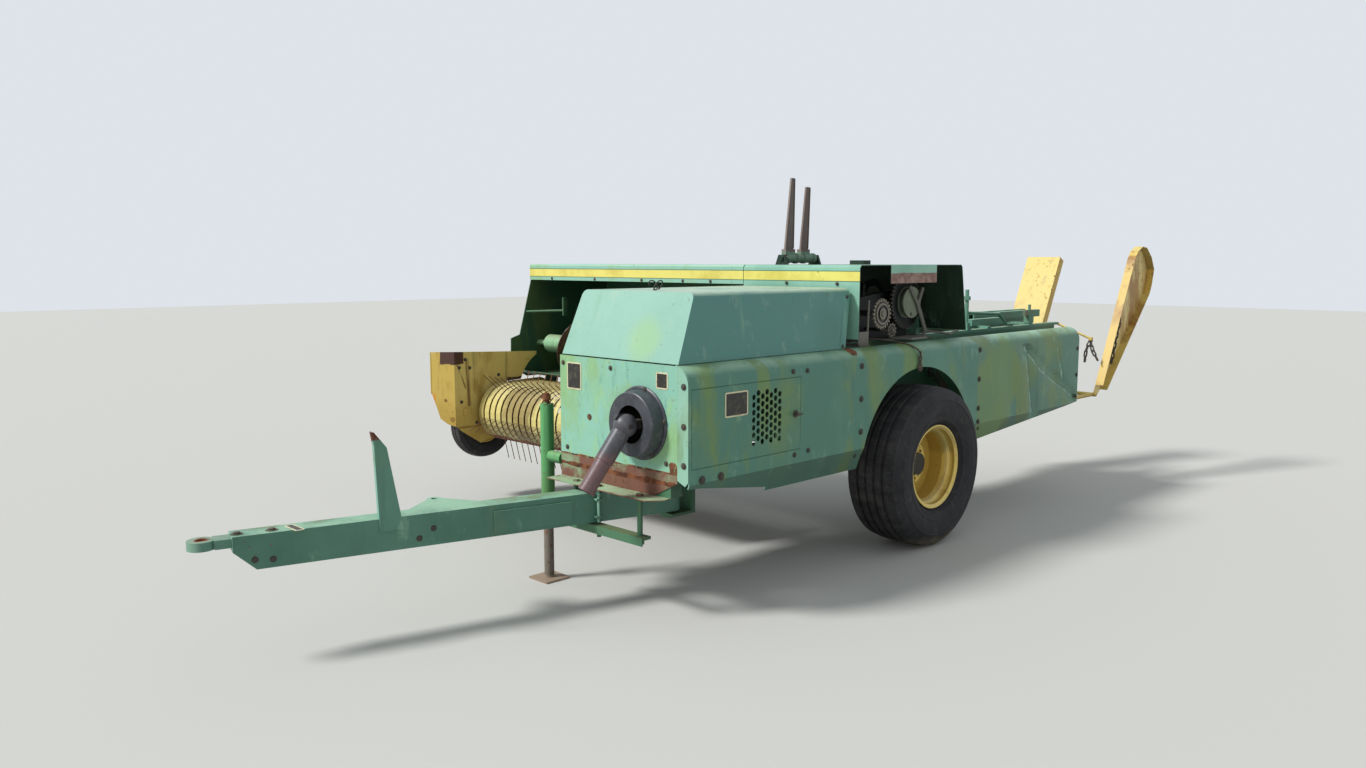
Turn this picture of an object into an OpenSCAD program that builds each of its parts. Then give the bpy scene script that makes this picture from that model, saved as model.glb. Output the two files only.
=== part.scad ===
/* [Stance] */
// Middle of the whole machine along its length, ahead of the main axle
mid_x = 256; // [150:1:320]
// Middle of the whole machine across its width, right of the left shield
mid_y = 1226; // [1180:1:1300]

/* [Wheels] */
// Outer radius of the wide left tyre
left_tyre_r = 400; // [360:1:430]
// Width of the left tyre
left_tyre_w = 334; // [280:1:340]
// Outer radius of the right tyre
right_tyre_r = 350; // [300:1:380]
// Width of the right tyre
right_tyre_w = 230; // [180:1:240]
// Radius of a main rim at its flanges
rim_r = 208; // [190:1:220]
// Width of the left rim between its flanges
left_rim_w = 206; // [180:1:230]
// Width of the right rim between its flanges
right_rim_w = 150; // [130:1:170]
// Radius of the pickup's gauge wheel
gauge_r = 200; // [170:1:215]
// Width of the gauge tyre
gauge_w = 96; // [80:1:110]
// Radius of a spindle
spindle_r = 32; // [25:1:36]
// Side of the square axle beam
axle_side = 100; // [80:1:110]

/* [Tongue] */
// Station of the tongue's pivot ahead of the axle
pivot_x = 1380; // [1340:1:1420]
// Offset of the tongue's pivot right of the left shield
pivot_y = 444; // [420:1:470]
// Angle of the tongue to the right in its transport place
tongue_angle = 14.6; // [12:0.1:17]
// Length of the tongue from pivot to hitch eye
tongue_len = 1850; // [1750:1:1950]
// Width of the tongue beam
tongue_w = 100; // [90:1:110]
// Height of the tongue beam
tongue_h = 125; // [110:1:130]
// Height of the tongue's underside
tongue_z = 340; // [325:1:350]
// Radius of the hole in the hitch eye
eye_hole_r = 16.5; // [13:0.5:20]
// Thickness of the hitch eye
eye_t = 32; // [24:1:38]
// Radius of the tongue's pivot pin
tongue_pin_r = 20; // [15:1:24]

/* [Front end] */
// Station of the front face
face_x = 1704; // [1690:1:1720]
// Right edge of the front face, right of the left shield
face_right = 774; // [760:1:790]
// Left edge of the front face, right of the left shield
face_left = 60; // [50:1:66]
// Height of the seam between shields and hood
seam_z = 1016; // [1000:1:1030]
// Height of the seam between face and rusty apron
apron_z = 590; // [570:1:600]
// Height of the shelf under the apron
shelf_z = 490; // [480:1:500]
// How far the shelf reaches ahead of the face
shelf_reach = 90; // [70:1:100]
// Thickness of the sheet metal
sheet = 4; // [3:0.5:5]
// Height of the hood over the flywheel
hood_h = 274; // [250:1:278]
// Radius of the driveline bell at its foot
bell_r = 148; // [135:1:155]
// Reach of the driveline bell
bell_reach = 62; // [50:1:75]
// Height of the driveline
drive_z = 775; // [760:1:790]
// Offset of the driveline right of the left shield
drive_y = 262; // [240:1:280]
// Radius of the driveline shield tube
drive_tube_r = 37; // [32:1:42]
// Length of the hanging driveline tube
drive_len = 300; // [260:1:320]
// How far the driveline hangs below level
drive_hang = 55; // [45:1:60]

/* [Side shields] */
// Height of the fold above the tucked lower flap
fold_z = 560; // [540:1:580]
// Radius of the roll along the top of the shields
roll_r = 75; // [60:1:80]
// Station of the seam ahead of the wheel arch
front_seam_x = 575; // [560:1:600]
// Station of the seam behind the wheel arch
rear_seam_x = -445; // [-460:1:-430]
// Station of the shields' rear end
tail_x = -1640; // [-1680:1:-1600]
// Station of the door's front edge
door_front = 1683; // [1670:1:1688]
// Length of the service door
door_len = 652; // [600:1:680]
// Height of the door's lower edge
door_low = 621; // [610:1:640]
// Height of the service door
door_h = 304; // [280:1:310]
// Gap around the door
door_gap = 4; // [3:0.5:8]
// Radius of a vent hole
vent_r = 12; // [9:0.5:13]
// Pitch of the vent holes
vent_pitch = 31; // [28:0.5:34]

/* [Bale chamber] */
// Left side of the chamber, right of the left shield
chamber_left = 300; // [292:1:310]
// Width of the bale
bale_w = 460; // [440:1:480]
// Height of the bale
bale_h = 365; // [350:1:380]
// Height of the chamber's floor
floor_z = 640; // [625:1:650]
// Wall of the chamber
chamber_t = 8; // [6:1:10]
// Station of the chamber's front end
chamber_front = 1000; // [960:1:1040]
// Station of the chamber's open rear end
chamber_rear = -1930; // [-1950:1:-1900]

/* [Feeder] */
// Station of the feeder hood's front face
hood_front = 560; // [550:1:566]
// Top of the feeder hood
hood_top = 1393; // [1370:1:1410]
// Right end of the feeder, right of the left shield
feeder_right = 2522; // [2480:1:2540]
// Station of the feeder's back wall
feeder_back = -70; // [-110:1:-40]
// Height of the feeder's floor
pan_z = 720; // [705:1:735]
// Outer radius of the auger's flighting
auger_r = 165; // [140:1:170]
// Radius of the auger tube
auger_tube_r = 55; // [45:1:65]
// Station of the auger
auger_x = 500; // [480:1:520]
// Height of the auger
auger_z = 905; // [895:1:930]
// Left edge of the feeder hood, at the knotter cover
cover_seam = 748; // [740:1:756]

/* [Pickup] */
// Station of the pickup's lift pivot
lift_x = 520; // [500:1:540]
// Height of the pickup's lift pivot
lift_z = 640; // [625:1:655]
// Station of the reel
reel_x = 900; // [890:1:920]
// Height of the reel
reel_z = 530; // [520:1:545]
// Radius of the stripper bands
band_r = 168; // [155:1:175]
// Radius of the tine tips
tine_r = 280; // [240:1:285]
// Right end of the reel, right of the left shield
reel_right = 2360; // [2300:1:2400]
// Left end of the reel, right of the left shield
reel_left = 850; // [830:1:900]

/* [Bale chute] */
// Station of the chute's hinge
chute_x = -1960; // [-1990:1:-1930]
// Height of the chute's hinge
chute_z = 575; // [560:1:590]
// Lean of the folded chute behind upright
chute_lean = 27; // [20:1:30]
// Length of the chute's floor pan
pan_len = 960; // [900:1:1000]
// Width of the chute's floor pan
pan_w = 235; // [200:1:260]

/* [Hidden] */
$fn = 48;

run_gap = 0.05;
seat = 0.3;
eps = 1;

tongue_top = tongue_z + tongue_h;
chamber_right = chamber_left + bale_w;
chamber_mid = chamber_left + bale_w / 2;
roof_z = floor_z + bale_h;
knot_x = -160;
knot_z = 1200;

module place() translate([-mid_x, mid_y, 0]) children();
module block(lo, hi) translate(lo) cube(hi - lo);
module along_x(from, to) translate([from, 0, 0]) rotate([90, 0, 90]) linear_extrude(to - from) children();
module along_y(low, high) translate([0, high, 0]) rotate([90, 0, 0]) linear_extrude(high - low) children();
module rod(a, b, r) {
    d = b - a;
    translate(a)
        rotate([0, acos(d.z / norm(d)), atan2(d.y, d.x)])
            cylinder(r = r, h = norm(d));
}
// closed outline, listed anticlockwise, moved inwards by d
function inset(pts, d) = [for (k = [0:len(pts) - 1])
    let (a = pts[(k + len(pts) - 1) % len(pts)], b = pts[k], c = pts[(k + 1) % len(pts)],
        u = (b - a) / norm(b - a), v = (c - b) / norm(c - b))
    b + [-u.y - v.y, u.x + v.x] * d / (1 + u * v)];
// ring of teeth: count, root and tip radius, share of the pitch at root and tip
function tooth_ring(n, root, tip, low, high) = [for (k = [0:n - 1],
    c = [[-low / 2, root], [-high / 2, tip], [high / 2, tip], [low / 2, root]])
    polar(c[1], (k + c[0]) * 360 / n)];
// a wheel's own frame: its axle along Y, its middle plane at the given offset
module on_axle(x, y, z) translate([x, y, z]) rotate([90, 0, 0]) children();
module on_tongue() translate([pivot_x, -pivot_y, 0]) rotate([0, 0, -tongue_angle]) children();

latch_at = 365;
latch_out = tongue_w / 2 + 16;
// tongue: box beam with its lower front corner cut, a bored tail and an ear for the swing cylinder
tail_r = tongue_w / 2;
nose_cut = 70;
ear_at = 977;
ear_reach = 130;
ear_t = 12;
module tongue_beam() color("mediumaquamarine") place() on_tongue() difference() {
    union() {
        along_y(-tongue_w / 2, tongue_w / 2)
            polygon([[0, tongue_z], [tongue_len - 170, tongue_z], [tongue_len - 95, tongue_z + nose_cut],
                [tongue_len - 95, tongue_top], [0, tongue_top]]);
        translate([0, 0, tongue_z]) cylinder(r = tail_r, h = tongue_h);
        translate([0, 0, tongue_top - ear_t]) linear_extrude(ear_t) difference() {
            union() {
                polygon([[ear_at - 140, -tongue_w / 2 + eps], [ear_at + 140, -tongue_w / 2 + eps],
                    [ear_at + 28, -tongue_w / 2 - ear_reach], [ear_at - 28, -tongue_w / 2 - ear_reach]]);
                translate([ear_at, -tongue_w / 2 - ear_reach]) circle(r = 30);
            }
            translate([ear_at, -tongue_w / 2 - ear_reach]) circle(r = 13);
        }
        translate([480, tongue_w / 2 - eps, tongue_z + 14]) cube([330, 8 + eps, tongue_h - 38]);
        for (z = [tongue_z + 22, tongue_top - 30])
            translate([latch_at - 15, tongue_w / 2 - eps, z]) cube([30, latch_out - tongue_w / 2 + 11, 8]);
        translate([latch_at, latch_out, tongue_z + 4]) cylinder(r = 8, h = shelf_z - tongue_z - 12);
        translate([latch_at, latch_out, tongue_top - 4]) cylinder(r = 13, h = 8);
    }
    translate([0, 0, tongue_z - eps]) cylinder(r = tongue_pin_r + run_gap, h = tongue_h + 2 * eps);
    along_y(-tongue_w / 2 + 8, tongue_w / 2 - 8)
        polygon([[tail_r + 30, tongue_z + 8], [tongue_len - 174, tongue_z + 8],
            [tongue_len - 103, tongue_z + nose_cut + 4], [tongue_len - 103, tongue_top - 8 - eye_t],
            [tongue_len - 260, tongue_top - 8 - eye_t], [tongue_len - 260, tongue_top - 8],
            [tail_r + 30, tongue_top - 8]]);
    translate([tongue_len - 250, -eye_w / 2, tongue_top - 8 - eye_t]) cube([200, eye_w, eye_t]);
}

// hitch eye: a flat bar with a bored round end
eye_w = 76;
module hitch_eye() color("seagreen") place() on_tongue()
    translate([0, 0, tongue_top - 8 - eye_t]) linear_extrude(eye_t) difference() {
        union() {
            translate([tongue_len - 250, -eye_w / 2]) square([250 - 40, eye_w]);
            translate([tongue_len - 41, -eye_w / 2 + 10]) square([41, eye_w - 20]);
            translate([tongue_len, 0]) circle(r = 46);
        }
        translate([tongue_len, 0]) circle(r = eye_hole_r);
    }

// upright rest for the driveline on the tongue's left face: a plate folded at its front edge
stand_at = 1208;
stand_half = 44;
stand_top = 735;
stand_lean = 56;
stand_tip = 56;
module tongue_stand() color("mediumseagreen") place() on_tongue() translate([stand_at, tongue_w / 2, 0]) {
    foot = tongue_z + 78;
    along_y(0, 6)
        polygon([[-stand_half, foot], [stand_half, foot], [stand_lean, stand_top + 5],
            [stand_lean + 9, stand_top + stand_tip], [stand_lean - 1, stand_top + stand_tip],
            [stand_lean - 46, stand_top - 4]]);
    difference() {
        along_y(-22, 1)
            polygon([[stand_half - 6, foot], [stand_half, foot], [stand_lean, stand_top + 5],
                [stand_lean + 9, stand_top + stand_tip], [stand_lean + 3, stand_top + stand_tip],
                [stand_lean - 6, stand_top + 5]]);
        block([0, -30, foot - 1], [80, 0, tongue_top + seat]);
    }
}

// stirrup under the shelf that the tongue slides on: a strap on two rods
strap_x = face_x + 46;
strap_z = tongue_z - 6;
strap_rods = [223, 618];
module tongue_bracket() color("olivedrab") place() {
    block([strap_x - 25, -strap_rods[1] - 22, strap_z - 12], [strap_x + 25, -strap_rods[0] + 36, strap_z]);
    block([strap_x + 19, -strap_rods[1] - 22, strap_z - 34],
        [strap_x + 25, -strap_rods[0] + 36, strap_z - 11]);
    for (y = strap_rods) {
        translate([strap_x, -y, strap_z - 34]) cylinder(r = 11, h = shelf_z - strap_z + 34);
        translate([strap_x, -y, strap_z - 34]) cylinder(r = 18, h = 16, $fn = 6);
    }
    translate([strap_x, -473, strap_z - 52]) cylinder(r = 9, h = 42);
}

// front frame: two channels, cross members and the fork that the tongue turns in
frame_z = shelf_z + sheet;
frame_h = 90;
rail_w = 60;
rails = [chamber_left + 6, chamber_right - rail_w - 6];
frame_front = face_x - sheet - seat;
module main_frame() color("darkgreen") place() {
    for (y = rails)
        difference() {
            block([chamber_front - 180, -y - rail_w, frame_z], [frame_front, -y, frame_z + frame_h]);
            block([chamber_front - 170, -y - rail_w + 8, frame_z + 8],
                [frame_front - 10, -y - rail_w / 2 + 24, frame_z + frame_h - 8]);
        }
    for (x = [chamber_front + 60, frame_front - 60])
        difference() {
            union() {
                block([x, -face_right + sheet + seat, frame_z],
                    [x + 60, -face_left - 40, frame_z + frame_h]);
                block([x, -face_left - 41, fold_z + 2], [x + 58, -sheet - seat, frame_z + frame_h]);
            }
            for (y = rails)
                block([x - eps, -y - rail_w, frame_z - eps], [x + 60 + eps, -y, frame_z + frame_h + eps]);
        }
    for (y = rails)
        block([chamber_front - 170, -y - rail_w, frame_z + frame_h - 1],
            [chamber_front - 110, -y, floor_z - chamber_t - seat]);
    difference() {
        union() {
            block([pivot_x - 95, -pivot_y - 70, tongue_z - 18], [pivot_x - 75, -pivot_y + 70, frame_z]);
            block([pivot_x - 76, -pivot_y - 70, tongue_z - 18], [pivot_x + 40, -pivot_y + 70, tongue_z - 6]);
            block([pivot_x - 76, -pivot_y - 140, tongue_top + 6], [pivot_x + 60, -pivot_y + 138, frame_z]);
        }
        translate([pivot_x, -pivot_y, tongue_z - 40])
            cylinder(r = tongue_pin_r + run_gap, h = tongue_h + 200);
    }
    translate([pivot_x, -pivot_y, tongue_z - 30]) cylinder(r = tongue_pin_r, h = frame_z - tongue_z + 36);
    translate([pivot_x, -pivot_y, tongue_z - 30]) cylinder(r = tongue_pin_r + 14, h = 12);
}

// axle: square beam under the chamber with a spindle at each end
left_spindle = 250;
right_wheel_y = feeder_right - 192;
beam_right = right_wheel_y - right_tyre_w / 2 - 22;
beam_z = left_tyre_r + 40;
module axle_beam() color("darkgreen") place() {
    difference() {
        block([-axle_side / 2, -beam_right, beam_z - axle_side / 2],
            [axle_side / 2, -left_spindle, beam_z + axle_side / 2]);
        block([-axle_side / 2 + 8, -beam_right + 12, beam_z - axle_side / 2 + 8],
            [axle_side / 2 - 8, -left_spindle - 12, beam_z + axle_side / 2 - 8]);
    }
    on_axle(0, -left_hub_out, left_tyre_r) cylinder(r = spindle_r, h = left_spindle - left_hub_out);
    block([-70, -beam_right - 16, right_tyre_r - 60], [70, -beam_right, beam_z + 60]);
    on_axle(0, -beam_right - 16, right_tyre_r) cylinder(r = spindle_r, h = right_hub_out - beam_right - 16);
    for (y = [chamber_left + 4, chamber_right - 24])
        block([-60, -y - 20, beam_z + axle_side / 2], [60, -y, floor_z - chamber_t]);
    for (y = [chamber_right + 250, beam_right - 90])
        block([-40, -y - 80, beam_z + axle_side / 2], [40, -y, pan_z - sheet]);
}

// gearbox, flywheel and crank case behind the front face, as one closed mass
flywheel_y = drive_y + 150;
flywheel_r = 175;
flywheel_w = 130;
case_top = 960;
module gearbox() color("dimgray") place() {
    block([chamber_front + 30, -chamber_right + 20, frame_z + frame_h],
        [gear_front - flywheel_w - 20, -chamber_left - 10, case_top]);
    translate([gear_front - flywheel_w, -flywheel_y, drive_z]) rotate([0, 90, 0]) {
        cylinder(r = flywheel_r, h = flywheel_w);
        translate([0, 0, -30]) cylinder(r = 60, h = 40);
    }
}

// parking jack: outer tube bolted to the right of the apron, with its crank
jack_x = 1690;
jack_y = 890;
jack_tube_r = 30;
jack_top = 790;
module jack_tube() color("forestgreen") place() {
    difference() {
        translate([jack_x, -jack_y, 345]) cylinder(r = jack_tube_r, h = jack_top - 345);
        translate([jack_x, -jack_y, 344]) cylinder(r = jack_leg_r + seat, h = jack_top - 344 - 10);
    }
    rod([jack_x, -jack_y + jack_tube_r - 4, 560], [jack_x, -face_right - 4, 560], 26);
    block([1630, -face_right - 8, 515], [face_x - 6, -face_right - seat, 610]);
    translate([jack_x, -jack_y, jack_top - 1]) cylinder(r = 12, h = 48);
    rod([jack_x, -jack_y - 34, jack_top + 26], [jack_x, -jack_y + 20, jack_top + 26], 7);
    translate([jack_x, -jack_y, jack_top + 16]) cylinder(r = 18, h = 20);
}

// jack leg and its flat foot
jack_leg_r = 22;
module jack_leg() color("gray") place() {
    translate([jack_x, -jack_y, 8]) cylinder(r = jack_leg_r, h = 480);
    block([jack_x - 65, -jack_y - 65, 0], [jack_x + 65, -jack_y + 65, 9]);
}

// front face: sheet panel with the driveline's hole
module front_face() color("palegreen") place() difference() {
    block([face_x - sheet, -face_right, apron_z], [face_x, -face_left, seam_z - 2]);
    translate([face_x - 20, -drive_y, drive_z]) rotate([0, 90, 0]) cylinder(r = bell_r - 14, h = 40);
}

// rusty apron below the face and the shelf it stands on
module front_apron() color("sienna") place() {
    along_x(face_x - sheet, face_x)
        polygon([[-face_right, shelf_z + sheet], [-face_right, apron_z - seat], [-face_left, apron_z - seat],
            [-face_left, fold_z], [-face_left - 130, shelf_z + sheet]]);
    for (y = concat(strap_rods, [473]))
        translate([strap_x, -y, shelf_z + sheet - 1]) cylinder(r = 16, h = 11, $fn = 6);
    translate([0, 0, shelf_z]) linear_extrude(sheet)
        polygon([[face_x - 90, -face_right], [face_x + shelf_reach, -face_right + 10],
            [face_x + shelf_reach, -face_left - 90], [face_x + 30, -face_left - 40],
            [face_x - 90, -face_left - 60]]);
}

// driveline bell: a shallow cone with an open mouth
module driveline_bell() color("dimgray") place()
    translate([face_x, -drive_y, drive_z]) rotate([0, 90, 0]) rotate_extrude()
        polygon([[bell_r, 0], [bell_r, 5], [bell_r - 6, 9], [bell_r - 12, 9], [bell_r - 20, bell_reach - 3],
            [bell_r - 24, bell_reach], [mouth_r, bell_reach], [mouth_r, bell_reach - 5],
            [bell_r - 26, bell_reach - 5], [bell_r - 18, 6], [bell_r - 22, 0]]);
mouth_r = 76;

// yoke of the driveline's joint on the gearbox shaft
drive_x = face_x + 86;
gear_front = 1570;
ball_r = 48;
eye_half = 12;
module drive_yoke() color("dimgray") place() {
    translate([gear_front, -drive_y, drive_z]) rotate([0, 90, 0])
        cylinder(r = 18, h = drive_x - ball_r - 8 - gear_front);
    translate([drive_x, -drive_y, drive_z]) rotate([0, 0, -tongue_angle]) {
        along_y(-eye_half, eye_half) {
            circle(r = 30);
            translate([-ball_r - 16, -18]) square([ball_r, 36]);
        }
        rotate([90, 0, 0]) cylinder(r = 10, h = 84, center = true);
    }
}

// hanging driveline: joint ball and shield tube
module on_drive() translate([drive_x, -drive_y, drive_z]) rotate([0, drive_hang, -tongue_angle]) children();
module driveline_tube() color("slategray") place() on_drive() {
    difference() {
        sphere(r = ball_r);
        rotate([90, 0, 0]) cylinder(r = 10 + run_gap, h = 200, center = true);
        along_y(-eye_half - seat, eye_half + seat) {
            circle(r = 31);
            translate([-80, -60]) square([84, 120]);
        }
    }
    rotate([0, 90, 0]) difference() {
        union() {
            translate([0, 0, 32]) cylinder(r = drive_tube_r, h = 0.55 * drive_len - 32);
            translate([0, 0, 0.55 * drive_len - 1]) cylinder(r = drive_tube_r - 4, h = 0.45 * drive_len + 1);
            translate([0, 0, drive_len - 12]) cylinder(r = drive_tube_r - 2, h = 12);
        }
        translate([0, 0, 90]) cylinder(r = drive_tube_r - 11, h = drive_len);
    }
}

// shields: a sheet with a rolled top edge and a tucked lower flap
arch_r = 500;
flap_low = 462;
module shield_section() {
    difference() {
        translate([-roll_r, seam_z - roll_r]) circle(r = roll_r);
        translate([-roll_r, seam_z - roll_r]) circle(r = roll_r - sheet);
        translate([-3 * roll_r, seam_z - 3 * roll_r]) square([2 * roll_r, 4 * roll_r]);
        translate([-2 * roll_r, seam_z - 3 * roll_r]) square([3 * roll_r, 2 * roll_r]);
    }
    translate([-sheet, fold_z]) square([sheet, seam_z - roll_r - fold_z]);
    polygon([[0, fold_z], [-sheet, fold_z], [-sheet - 34, flap_low], [-34, flap_low]]);
}
module side_shield_front() color("cadetblue") place() difference() {
    union() {
        along_x(front_seam_x, face_x - sheet - seat) shield_section();
        along_x(face_x - sheet - 1, face_x)
            polygon(concat([[-face_left + seat, fold_z + 12], [-sheet - 14, fold_z - 6], [-1, fold_z + 12]],
                [for (a = [0:13:78]) [-roll_r, seam_z - roll_r] + polar(roll_r - 1, a)]));
    }
    block([door_front - door_len - door_gap, -20, door_low - door_gap],
        [door_front + door_gap, 20, door_low + door_h + door_gap]);
    translate([door_front - 3, -sheet / 2, door_low - 14]) cylinder(r = 1.2 + run_gap, h = door_h + 28);
    along_y(-100, 50) polygon([[1220, 400], [1710, 400], [1710, 545], [1640, 540], [1220, 478]]);
}

// service door with its round vents, hinged at its front edge
vent_cols = 7;
vent_rows = 7;
vent_mid = 1247;
module side_door() color("cadetblue") place() difference() {
    union() {
        block([door_front - door_len, -sheet, door_low], [door_front, 0, door_low + door_h]);
        translate([door_front - 3, -sheet / 2, door_low - 13]) cylinder(r = 1.2, h = door_h + 26);
    }
    for (c = [0:vent_cols - 1], r = [0:vent_rows - 1])
        translate([vent_mid + (c - 3) * vent_pitch * 0.866, 0,
            door_low + door_h / 2 + (r - 3 + (c % 2) / 2) * vent_pitch])
            rotate([90, 0, 0]) cylinder(r = vent_r, h = 20, center = true, $fn = 24);
}

module side_shield_arch() color("cadetblue") place() difference() {
    along_x(rear_seam_x, front_seam_x - seat) shield_section();
    on_axle(90, 40, left_tyre_r) cylinder(r = arch_r, h = 80);
    block([rear_seam_x - eps, -60, 300], [-380, 20, 470]);
}

module side_shield_rear() color("cadetblue") place() difference() {
    along_x(tail_x, rear_seam_x - seat) shield_section();
    along_y(-100, 50)
        polygon([[tail_x - 10, 400], [rear_seam_x, 400], [rear_seam_x, 463], [tail_x - 10, 566]]);
}

hinge_y = face_right + 12;
lid_hinges = [860, 1500];
module right_side_panel() color("cadetblue") place() {
    block([chamber_front - 180, -face_right, fold_z],
        [face_x - sheet - seat, -face_right + sheet, seam_z - 2]);
    for (x = lid_hinges) {
        translate([x - 18, -hinge_y, seam_z]) rotate([0, 90, 0]) cylinder(r = 6, h = 76);
        translate([x - 18, -hinge_y, seam_z]) rotate([0, 90, 0]) cylinder(r = 11, h = 14);
        block([x - 18, -hinge_y, seam_z - 13], [x - 4, -face_right + 2, seam_z - 3]);
    }
}

// hood over the flywheel: a folded sheet lid with sloping ends and rounded top edges
hood_back = 640;
lid_r = 28;
module hood_form(grow) {
    intersection() {
        along_x(0, 2000) hood_section(grow);
        along_y(-1000, 100)
            polygon([[hood_back - grow, seam_z - 50], [face_x - 10 + grow, seam_z - 50],
                [face_x - 10 + grow, seam_z + 4], [face_x - 118 + grow, seam_z + hood_h + grow],
                [580 - grow, seam_z + hood_h + grow], [hood_back - grow, seam_z + 4]]);
    }
}
module hood_section(grow) {
    low = seam_z - 50;
    high = seam_z + hood_h + grow;
    polygon(concat(
        [[-face_right - grow, low]],
        [for (a = [180:-15:90]) [-face_right - grow + 20 + lid_r, high - lid_r] + polar(lid_r, a)],
        [for (a = [90:-15:0]) [-face_left - 22 + grow - lid_r, high - lid_r] + polar(lid_r, a)],
        [[-face_left + grow, low]]));
}
module flywheel_hood() color("lightseagreen") place() {
    difference() {
        hood_form(0);
        hood_form(-sheet);
        block([0, -1000, 0], [2000, 100, seam_z + 2]);
    }
    for (x = lid_hinges)
        difference() {
            union() {
                translate([x, -hinge_y, seam_z]) rotate([0, 90, 0]) cylinder(r = 11, h = 40);
                block([x, -hinge_y, seam_z + 3], [x + 40, -face_right + 7, seam_z + 11]);
            }
            translate([x - 1, -hinge_y, seam_z]) rotate([0, 90, 0]) cylinder(r = 6 + run_gap, h = 42);
        }
}

// bale chamber: floor, walls and top as separate plates
needle_slots = [chamber_mid - 115, chamber_mid + 115];
slot_w = 40;
slot_front = knot_x + 35;
slot_back = knot_x - 55;
module chamber_floor() color("darkgreen") place() difference() {
    block([chamber_rear, -chamber_right, floor_z - chamber_t], [chamber_front, -chamber_left, floor_z]);
    for (y = needle_slots)
        block([slot_back, -y - slot_w / 2, floor_z - 50], [slot_front, -y + slot_w / 2, floor_z + 50]);
}
module chamber_left_wall() color("darkgreen") place() {
    block([chamber_rear, -chamber_left - chamber_t, floor_z], [chamber_front, -chamber_left, roof_z]);
    on_axle(needle_x, -chamber_left + arm_gap + arm_t + 4, needle_z)
        cylinder(r = yoke_pin_r, h = arm_gap + arm_t + 8);
    for (x = [front_seam_x, rear_seam_x])
        block([x - 30, -chamber_left - 1, 900], [x + 30, -sheet - seat, 912]);
}
feed_front = 610;
feed_back = 60;
module chamber_right_wall() color("darkgreen") place() difference() {
    union() {
        block([chamber_rear, -chamber_right, floor_z], [chamber_front, -chamber_right + chamber_t, roof_z]);
        on_axle(needle_x, -chamber_right + 4, needle_z) cylinder(r = yoke_pin_r, h = arm_gap + arm_t + 8);
    }
    difference() {
        block([feed_back, -chamber_right - 20, pan_z], [feed_front, -chamber_right + 40, roof_z - 12]);
        block([auger_x - 40, -chamber_right - 30, auger_z - 36],
            [auger_x + 40, -chamber_right + 50, roof_z]);
    }
    on_axle(auger_x, -chamber_right + 50, auger_z) cylinder(r = 18 + run_gap, h = 100);
}
rail_end = chamber_rear - 55;
side_rail = 15;
module chamber_top() color("mediumaquamarine") place() {
    difference() {
        block([-420, -chamber_right, roof_z], [chamber_front, -chamber_left, roof_z + chamber_t]);
        for (y = needle_slots)
            block([slot_back, -y - slot_w / 2, roof_z - 50], [slot_front, -y + slot_w / 2, roof_z + 50]);
    }
    for (y = [chamber_left, chamber_right - 50])
        block([rail_end, -y - 50, roof_z], [-419, -y, roof_z + side_rail]);
    for (y = [chamber_left + 20, chamber_right - 60]) {
        block([hood_front - 34, -y - 40, roof_z], [hood_front - sheet - seat - 0.6, -y, 1130]);
        along_y(-y - 40, -y)
            polygon([[-384 + seat, roof_z], [-384 + seat, 1035], [-370.2, 1120], [-350, 1120],
                [-350, roof_z]]);
    }
    block([374, -chamber_left - 40, roof_z + chamber_t - 1], [455, -112, roof_z + chamber_t + 7]);
    block([374, -128, roof_z + chamber_t + 6], [455, -120, 1080]);
    rod([378, -124, 1079], [371, -124, 1227], 5);
}

// tension rails over the chamber's rear, with their cross bars, cranks and hoop handle
cross_z = roof_z + side_rail;
crank_y = chamber_left + 20;
rail_top = 1095;
module tension_rails() color("darkslategray") place() {
    for (x = [-1615, -1100, -869])
        block([x - 20, -chamber_right, cross_z], [x + 20, -chamber_left, cross_z + 12]);
    for (y = [chamber_left + 160, chamber_right - 200]) {
        difference() {
            block([-2050, -y - 40, rail_top - 45], [-1200, -y, rail_top]);
            block([-2051, -y - 34, rail_top - 46], [-1199, -y - 6, rail_top - 6]);
        }
        block([-1990, -y - 24, roof_z - 1], [-1230, -y - 16, rail_top - 5]);
    }
    along_y(-chamber_left - 120, -chamber_left - 80)
        polygon([[-1420, cross_z + 10], [-1040, cross_z + 10], [-1040, 1070], [-1380, 1070]]);
    along_y(-chamber_right + 80, -chamber_right + 120)
        polygon([[-1420, cross_z + 10], [-1040, cross_z + 10], [-1040, 1070], [-1380, 1070]]);
    translate([-869, -crank_y, cross_z + 11]) cylinder(r = 11, h = 1250 - cross_z - 11);
    block([-885, -crank_y - 16, cross_z + 11], [-853, -crank_y + 16, cross_z + 40]);
    translate([-869, -crank_y, 1190]) cylinder(r = 20, h = 22, $fn = 6);
    hoop = [[-869, 1118], [-1240, 1099], [-1338, cross_z + 13], [-1406, cross_z + 10.3]];
    for (k = [0:len(hoop) - 2]) {
        rod([hoop[k].x, -crank_y, hoop[k].y], [hoop[k + 1].x, -crank_y, hoop[k + 1].y], 9);
        translate([hoop[k + 1].x, -crank_y, hoop[k + 1].y]) sphere(r = 10, $fn = 24);
    }
    translate([-1625, -crank_y, cross_z + 11]) cylinder(r = 9, h = 1143 - cross_z - 11);
    block([-1650, -crank_y - 18, cross_z + 11], [-1590, -crank_y + 18, 1076]);
    block([-1693, -crank_y - 6, 1075], [-1553, -crank_y + 10, 1110]);
}

// twine box between the chamber and the rear shield
module twine_box() color("seagreen") place() difference() {
    block([tail_x + 6, -chamber_left + seat, 600], [-780, -sheet - 40, 985]);
    block([tail_x + 12, -chamber_left + 5, 604], [-786, -sheet - 44, 1000]);
}

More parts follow.
